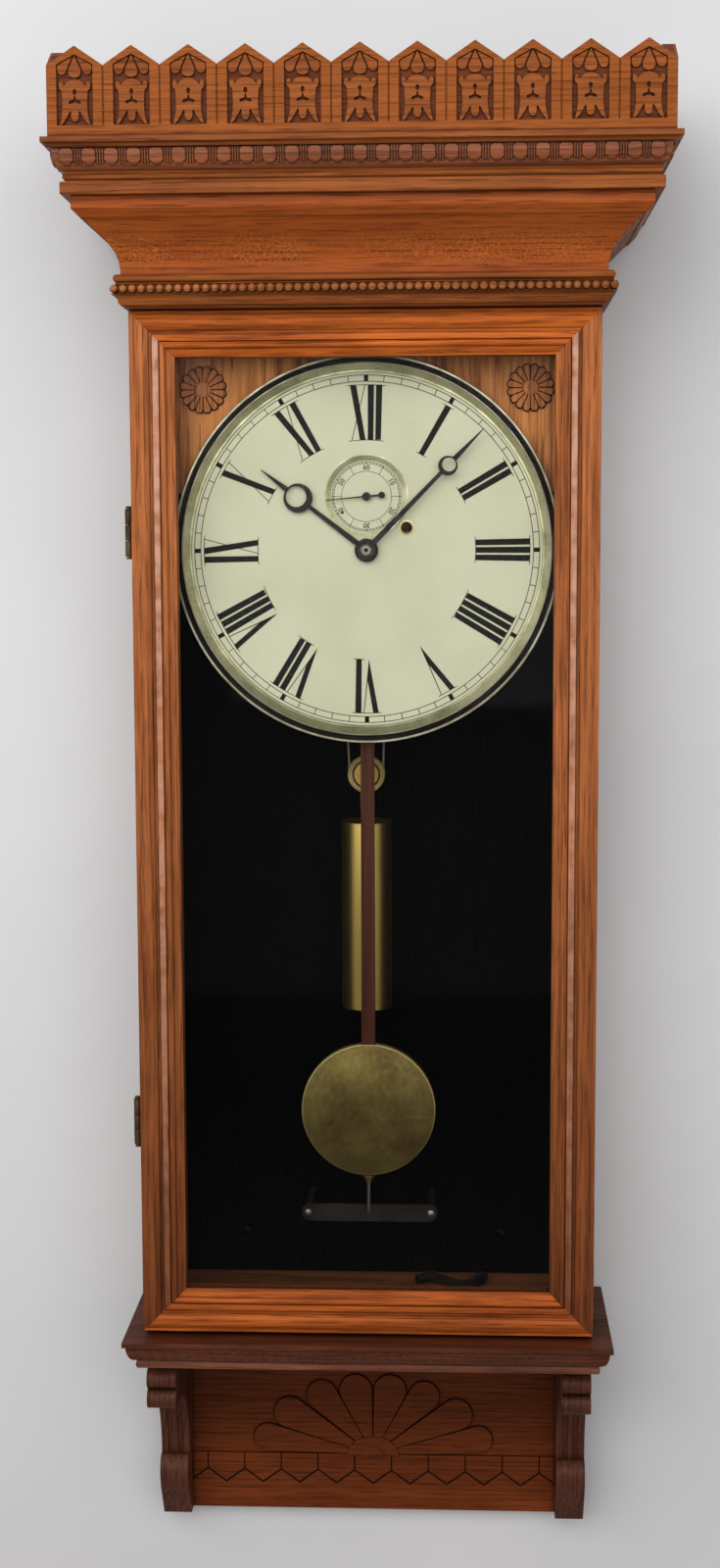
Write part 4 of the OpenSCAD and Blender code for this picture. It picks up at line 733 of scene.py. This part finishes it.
rosettes = bmesh.new()
rosette_x, rosette_up, petals = 141.7, 138.8, 16
for side in (-1, 1):
    at = (rosette_x * side, 0, rosette_up)
    turned(rosettes, [(0, 97.9), (18, 97.9), (18, 99.2), (0, 99.2)], at, count=48)
    turned(rosettes, [(0, 99), (7, 99), (7, 100.4), (6.4, 101)] + arc(0, 62, 40, 80.9, 90, 4),
           at, count=40)
    turns = [math.radians(360 / petals * i + 11) for i in range(petals)]
    # The first pass lays a slightly larger dark plate under each petal, as painted shade in its
    # outline.
    for wide, top, material in ((0.9, 99.4, 1), (0, 101.2, 0)):
        carved(rosettes, arc(0, 17, 3 + wide, -14, 194, 8) + [(-1.1 - wide, 6.6),
                                                            (1.1 + wide, 6.6)],
               [], 97.9, top, [Matrix.Translation(at) @ Matrix.Rotation(turn, 4, "Y")
                               for turn in turns], 0 if material else 0.8, material)
piece("rosettes", rosettes, "case", [rosette_oak, line_shade], ["corner_rosettes"])

# METALS. Plates, wheels and weight are brass, at most a little dulled; arbors, screws and the
# hanging plate are steel; the dial's bevel is silvered brass that has yellowed.


def metal(name, bright, dull, rough=0.3, size=30, metallic=1.0, brushed="Z", even=0.5, over=None):
    """A metal whose polish has gone dull in patches, with faint marks of the last rubbing. Where
    another tone lies over it, a function adds it."""
    material, node, place = new_finish(name)
    stretch = (0.05, 1, 1) if brushed == "X" else (1, 1, 0.05)
    rubbed = noise(node, node("Mapping", {"Vector": place, "Scale": stretch}).outputs[0], 1500, 1)
    amount = mixed(node, 0.25, noise(node, place, size, 5, 0.6), noise(node, place, size * 14, 2))
    tone = steps(node, amount, (even - 0.14, colour(*dull)), (even + 0.14, colour(*bright)))
    if over:
        tone = over(node, place, tone)
    node("shader", {
        "Base Color": tone, "Metallic": metallic, "Specular IOR Level": 0.5 * metallic ** 2,
        "Roughness": steps(node, amount, (even - 0.14, min(1, rough + 0.25)), (even + 0.14, rough)),
        "Normal": bumped(node, rubbed, 0.12, 0.0002)})
    return material


arbors_from = -0.082


def steel_ends(node, place, tone):
    """The wheels' arbors are steel where they come near the dial, painted near black as the shade
    inside the winding hole.
    """
    front = worked(node, "LESS_THAN", coordinate(node, place, "Y"), arbors_from)
    return mixed(node, front, tone, colour(30, 27, 24))


brass = metal("brass", (186, 150, 84), (138, 106, 56))
old_brass = metal("old_brass", (96, 80, 56), (60, 48, 36), rough=0.45)
geared_brass = metal("geared_brass", (186, 150, 84), (138, 106, 56), over=steel_ends)
steel = metal("steel", (142, 136, 122), (98, 94, 86), rough=0.34)
iron = metal("iron", (44, 38, 34), (24, 21, 19), rough=0.55, metallic=0.5)
for name in ("hinge_case_leaves", "hinge_door_leaves", "door_catch", "catch_stud"):
    dress(name, old_brass, 0.25)
dress("hanger_plate", steel, 0.3)
for name in ("back_plate", "front_plate", "suspension_cock"):
    dress(name, brass)
for name in ("winding_drum", "great_wheel", "second_wheel", "centre_wheel", "motion_wheel",
             "third_wheel", "escape_wheel"):
    dress(name, geared_brass)
dress("pallet_anchor", steel)
dress("movement_seat", iron, 0.3)

# THE GLASS is a plain old pane, let into the door from behind and held by the beads.
pane, node, place = new_finish("pane")
drawn_glass = noise(node, node("Mapping", {"Vector": place, "Scale": (1, 1, 0.3)}).outputs[0],
                    9, 1)
node("shader", {"Base Color": colour(24, 26, 26), "Roughness": 0.03, "Alpha": 0.035,
                "Normal": bumped(node, drawn_glass, 0.1, 0.001)})
dress("door_glass", pane)

# THE DIAL is a painted zinc disc in a silvered bevel and a black hoop. Its Roman numerals,
# minute track and the small seconds figures are printed in black.
cream, node, place = new_finish("dial_paint")
cloud = noise(node, place, 18, 5)
pinhole = noise(node, place, 900, 2)
paint = steps(node, cloud, (0.35, colour(203, 203, 170)), (0.65, colour(211, 212, 180)))
paint = mixed(node, 0.5, paint, steps(node, pinhole, (0.3, colour(170, 165, 130)),
                                      (0.36, colour(209, 210, 178))), "DARKEN")
node("shader", {"Base Color": paint, "Roughness": steps(node, cloud, (0.3, 0.42), (0.7, 0.52)),
                "Specular IOR Level": 0.2, "Normal": bumped(node, pinhole, 0.1, 0.0001)})
ink, node, place = new_finish("printing_ink")
fade = noise(node, place, 60, 4)
node("shader", {"Base Color": steps(node, fade, (0.35, colour(18, 17, 14)),
                                    (0.7, colour(27, 25, 21))), "Specular IOR Level": 0.1,
                "Roughness": steps(node, fade, (0.3, 0.5), (0.7, 0.65))})


def dusty(node, place, tone):
    """Dust and old polish lie in the lower part of the bevel."""
    return times(node, tone, steps(node, way(node, place, "Z", -0.425, -0.33),
                                   (0, (0.55, 0.56, 0.54, 1)), (1, 1)))


silvered = metal("silvered", (198, 196, 158), (147, 145, 110), rough=0.38, size=40, over=dusty)
bright_rim = metal("bright_rim", (176, 172, 150), (128, 122, 96), rough=0.3, size=60)
black_hoop_and_groove_shade = metal("black_hoop_and_groove_shade", (38, 33, 28), (26, 22, 19), rough=0.6, metallic=0.2)
dress("dial_plate", cream)
dress("seconds_dial", cream)
dress("seconds_ring", silvered)
bezel = bmesh.new()
turned(bezel, [(152.5, 102.4), (152.5, 105), (153, 105.4), (154.4, 105.4), (154.8, 105),
               (159.4, 109), (159.9, 109.8), (159.9, 102.4)], count=224)
piece("bezel", bezel, "case", [silvered], ["dial_bevel"], sharp=20)
hoop = bmesh.new()
turned(hoop, [(147.4, 100.4), (147.4, 102.4), (160, 102.4), (160, 110.2), (160.3, 110.4),
              (160.8, 110.3), (161.2, 109.4), (162.8, 108.4), (165.4, 108.3), (165.8, 108.8),
              (167.2, 108.8), (167.7, 108.3), (167.7, 98), (163.1, 98), (163.1, 100.4)], count=224)
black_from, black_to, black_depth = 160.85, 165.5, 105
for face in hoop.faces:
    where = face.calc_center_median()
    if black_from < math.hypot(where.x, where.z) < black_to and where.y < -black_depth:
        face.material_index = 1
piece("hoop", hoop, "case", [bright_rim, black_hoop_and_groove_shade], ["dial_hoop"], sharp=28)
dress("winding_grommet", metal("pale_brass", (206, 190, 140), (170, 152, 100), rough=0.4))
dial_front, foot, head, line = 104, 94.8, 141.8, 0.62
print_sink, print_rise = 0.02, 0.06


def stroke(points):
    """A printed stroke of a numeral: its points across the foot at nine tenths of the width
    across the head."""
    return [(u * (0.9 + 0.1 * v), foot + (head - foot) * v) for u, v in points]


def serif(r, start, end):
    """A hairline along the circle of a radius, from one place across to another."""
    start, end = (90 - math.degrees(u / r) for u in (start, end))
    return arc(0, 0, r + line / 2, start, end, 6) + arc(0, 0, r - line / 2, end, start, 6)


def numeral(letters):
    """The strokes of a Roman numeral, its feet to the centre: thick strokes lean one way, thin
    ones the other."""
    widths = {"I": 5.5, "V": 13.5, "X": 13.5}
    gaps = [1.65 if a == b == "I" else 2 if "X" in a + b else 1.8
            for a, b in zip(letters, letters[1:])] + [0]
    u = -(sum(widths[letter] for letter in letters) + sum(gaps)) / 2
    thin, serif_out = line + 0.1, 2.7
    for letter, gap in zip(letters, gaps):
        w = widths[letter]
        if letter == "I":
            yield stroke([(u, 0), (u, 1), (u + w, 1), (u + w, 0)])
        elif letter == "V":
            yield stroke([(u + 8.4, 0), (u, 1), (u + 4.9, 1), (u + 10.15, 0.35)])
            yield stroke([(u + 8.4, 0), (u + 8.4 - thin, 0.06), (w + u - thin, 1), (w + u, 1)])
        else:
            yield stroke([(u + 8, 0), (u, 1), (u + 5.5, 1), (u + w, 0)])
            yield stroke([(u, 0), (u + w - thin, 1), (u + w, 1), (u + thin, 0)])
        low, high = (u - serif_out, u + w + serif_out)
        yield serif(head, low, high)
        if letter != "V":
            yield serif(foot, 0.9 * low, 0.9 * high)
        u += w + gap


face_print = bmesh.new()


def printed(outline, turns, depth=dial_front, centre=(0, 0, 0)):
    """One printed mark, repeated at some turns round a centre."""
    carved(face_print, outline, [], depth - print_sink, depth + print_rise,
           [Matrix.Translation(centre) @ Matrix.Rotation(math.radians(turn), 4, "Y")
            for turn in turns], 0)


def tick(half, inner, outer, turns, **where):
    """A printed tick of half its width, between two radii."""
    printed([(-half, inner), (-half, outer), (half, outer), (half, inner)], turns, **where)


def circle(r, half, depth=dial_front, centre=(0, 0, 0), count=192):
    """A printed circle of a radius and half its line's width."""
    low, high = depth - print_sink, depth + 0.05
    turned(face_print, [(r - half, low), (r - half, high), (r + half, high), (r + half, low)],
           centre, count=count)


for hour, letters in enumerate("XII I II III IIII V VI VII VIII IX X XI".split()):
    for outline in numeral(letters):
        printed(outline, [30 * hour])
track_in, track_out = 144.8, 150.1
minutes = [6 * minute for minute in range(60)]
tick(1.9, track_in, track_out, minutes[::5])
tick(0.34, track_in, track_out, minutes)
for r in (track_in, track_out):
    circle(r, 0.33)
seconds_in, track_low, track_high, seconds_up, seconds_depth = 21.7, 28.4, 29.9, 46.4, 101.8
small = {"depth": seconds_depth, "centre": (0, 0, seconds_up)}
tick(0.22, track_low, track_high, minutes, **small)
tick(0.4, 27.8, 30.2, minutes[::5], **small)
tick(0.22, seconds_in, track_low, minutes[5::10], **small)
for r in (seconds_in, track_low, track_high):
    circle(r, 0.22, count=128, **small)
figure_size, figure_foot = 6.1, 23
for figure in range(10, 70, 10):
    writing = bpy.data.curves.new("figure", "FONT")
    writing.body, writing.size, writing.align_x = str(figure), figure_size, "CENTER"
    writing.extrude, writing.resolution_u, writing.offset = 0.04, 2, 0.1
    written = bpy.data.objects.new("figure", writing)
    outlines = written.to_mesh()
    outlines.transform(Matrix.Translation((0, 0, seconds_up))
                       @ Matrix.Rotation(math.radians(6 * figure), 4, "Y")
                       @ Matrix.Translation((0, -seconds_depth - 0.03, figure_foot))
                       @ Matrix.Rotation(math.pi / 2, 4, "X"))
    face_print.from_mesh(outlines)
    written.to_mesh_clear()
    bpy.data.objects.remove(written)
    bpy.data.curves.remove(writing)
bmesh.ops.remove_doubles(face_print, verts=face_print.verts, dist=0.0001)
piece("face_print", face_print, "case", [ink])

# THE HANDS are blued steel gone brown, each pierced by a moon, and held by a domed steel nut.
hand_blue = metal("hand_steel", (52, 47, 45), (32, 29, 29), rough=0.42, metallic=0.6, size=120)
dress("hour_hand", hand_blue, 0.22)
dress("minute_hand", hand_blue, 0.22)
dress("second_hand", hand_blue, 0.12)
dress("hand_nut", steel, 0.15)

# THE PENDULUM: a brass leader, a stick of reddish hardwood with a steel thread at its foot, a
# heavy brass bob gone olive with tarnish, and the nut that sets the time.
bob_up, pend_d, bob_r, rim_highlight_width = -499.5, 94, 60, 0.8


def tarnished(node, place, tone):
    """The bob is painted darker towards the foot, as shade, and has a painted highlight along its
    edge, strongest at the top.
    """
    low = way(node, place, "Z", -0.833, -0.707)
    tone = times(node, tone, steps(node, low, (0, (0.5, 0.45, 0.47, 1)),
                                   (0.5, (0.66, 0.64, 0.62, 1)), (1, 1)))
    middle = (0, -pend_d / 1000, dial_up + bob_up / 1000)
    off = node("VectorMath", {0: place, 1: middle}, operation="SUBTRACT").outputs[0]
    off = node("VectorMath", {0: off, 1: (1, 0, 1)}, operation="MULTIPLY").outputs[0]
    off = node("VectorMath", {0: off}, operation="LENGTH").outputs["Value"]
    # Painted highlight along the rim, strongest towards the top.
    edge = worked(node, "GREATER_THAN", off, (bob_r - rim_highlight_width) / 1000)
    edge = times(node, edge, steps(node, low, (0.2, 0.1), (0.9, 1.0)))
    return mixed(node, edge, tone, colour(176, 158, 104))


bob_brass = metal("bob_brass", (115, 105, 58), (81, 65, 37), rough=0.4, size=18, brushed="X",
                  over=tarnished)
rod_wood, node, place = new_finish("rod_wood")
fibre = noise(node, node("Mapping", {"Vector": place, "Scale": (1, 1, 0.02)}).outputs[0], 420, 4)
# Painted shade: the stick darkens towards its foot.
stick = times(node, steps(node, fibre, (0.35, colour(62, 34, 23)), (0.65, colour(90, 54, 38))),
              steps(node, way(node, place, "Z", -0.6, -0.42), (0, (0.72, 0.64, 0.6, 1)), (1, 1)))
thread = way(node, place, "Z", -0.813, -0.8128)
node("shader", {"Base Color": mixed(node, thread, colour(96, 92, 86), stick),
                "Metallic": steps(node, thread, (0, 1.0), (1, 0.0)), "Roughness": 0.45,
                "Specular IOR Level": 0.06, "Normal": bumped(node, fibre, 0.2, 0.0003)})
dress("pendulum_rod", rod_wood, 0.6)
dress("pendulum_leader", brass, 0.2)
dress("rating_nut", old_brass, 0.2)
bob = bmesh.new()
rim, slot_top, slot_foot, slot_end, crown_of_bob, dome = 4.2, 6.3, 3, -47.4, 10, 304
for side in (1, -1):
    turned(bob, [(r, pend_d + side * d) for r, d in
                 [(0, rim), (bob_r, rim)] + arc(0, crown_of_bob - dome, dome, 78.8, 90, 12)],
           (0, 0, bob_up), count=128)
    half = math.degrees(math.asin(slot_top / bob_r))
    low = math.degrees(math.asin(slot_foot / bob_r))
    carved(bob, [(side * x, z) for x, z in arc(0, 0, bob_r, 90 - half, -90 + low, 40)
                 + [(slot_foot, slot_end), (slot_top, slot_end)]], [], pend_d - rim,
           pend_d + rim, [Matrix.Translation((0, 0, bob_up))], 0)
piece("bob", bob, "bob", [bob_brass], ["pendulum_bob"], ease=0.3)

# THE WEIGHT is a polished brass canister on a stirrup, whose pulley runs in the loop of a gut
# cord. The cord's two ends stay on the case, and its loop goes with the weight.
weight_brass = metal("weight_brass", (152, 131, 70), (124, 104, 54), rough=0.34, size=16,
                     even=0.3)
dress("drive_weight", weight_brass, 0.3)
pulley_x, pulley_up, rim_from, groove_shade_from = -3, -201, 12.5, 11.5
pulley = bmesh.new()
turned(pulley, [(1.75, 46.4), (1.75, 55.6), (3.4, 55.6), (3.6, 54.8), (10.8, 54.8), (11.4, 54.2),
                (11.6, 52.6), (12.4, 52.6), (12.6, 53.9), (16.4, 54), (17, 53.4), (17, 52.9),
                (13.9, 51.9), (13.9, 50.1), (17, 49.1), (17, 48.4), (16.4, 48), (12.6, 48),
                (3.6, 47.4), (3.4, 46.4)], (pulley_x, 0, pulley_up), count=96)
# Painted shade: the groove between hub and rim takes the black finish.
for face in pulley.faces:
    where = face.calc_center_median()
    r = math.hypot(where.x - pulley_x, where.z - pulley_up)
    face.material_index = 1 if r > rim_from else 2 if r > groove_shade_from else 0
piece("pulley_wheel", pulley, "pulley",
      [brass, metal("pulley_rim", (150, 136, 90), (120, 106, 66), rough=0.42), black_hoop_and_groove_shade],
      ["weight_pulley"], sharp=25)
cord, node, place = new_finish("gut_cord")
twist = node("TexWave", {"Vector": place, "Scale": 260, "Distortion": 0.6},
             bands_direction="DIAGONAL").outputs["Fac"]
node("shader", {"Base Color": steps(node, twist, (0.2, colour(112, 96, 66)),
                                    (0.8, colour(158, 138, 98))),
                "Roughness": 0.6, "Normal": bumped(node, twist, 0.4, 0.0002)})
cord_run = bmesh.new()
cord_run.from_mesh(part["weight_cord"].data)
bmesh.ops.remove_doubles(cord_run, verts=cord_run.verts, dist=0.000001)
cord_run.transform(to_frame.inverted())
hung_cord = piece("gut_cord", cord_run, None, [cord], ["weight_cord"])
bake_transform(hung_cord)

# THE BEAT SCALE is a dark iron strip with a bright screw at each end. Two black screws steady the
# case against the wall, and the winding KEY lies on its floor.
dress("beat_scale", iron, 0.4)
screw_black = metal("screw_black", (16, 14, 13), (9, 8, 8), rough=0.7, metallic=0.1)
for name, outline, across_case, up, finish in (
        ("scale_screws", [(0, 81.8), (2.9, 81.8), (2.9, 82.5)] + arc(0, 79.2, 4.4, 48, 90, 5),
         56, -599.6, steel),
        ("steady_screws", [(0, 1), (2.3, 1), (2.3, 13.6), (4.4, 13.6)]
         + arc(0, 10.3, 5.6, 38, 90, 5), 120, -640, screw_black)):
    screws = bmesh.new()
    for side in (-1, 1):
        turned(screws, outline, (across_case * side, 0, up), count=24)
    piece(name, screws, "case", [finish])
dress("winding_key", iron, 0.3)

# THE CLOCK IS DONE; the last line works out its size beside that of the solids.
[[list(map(float, corner)) for corner in box] for box in (cad_box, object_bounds())]
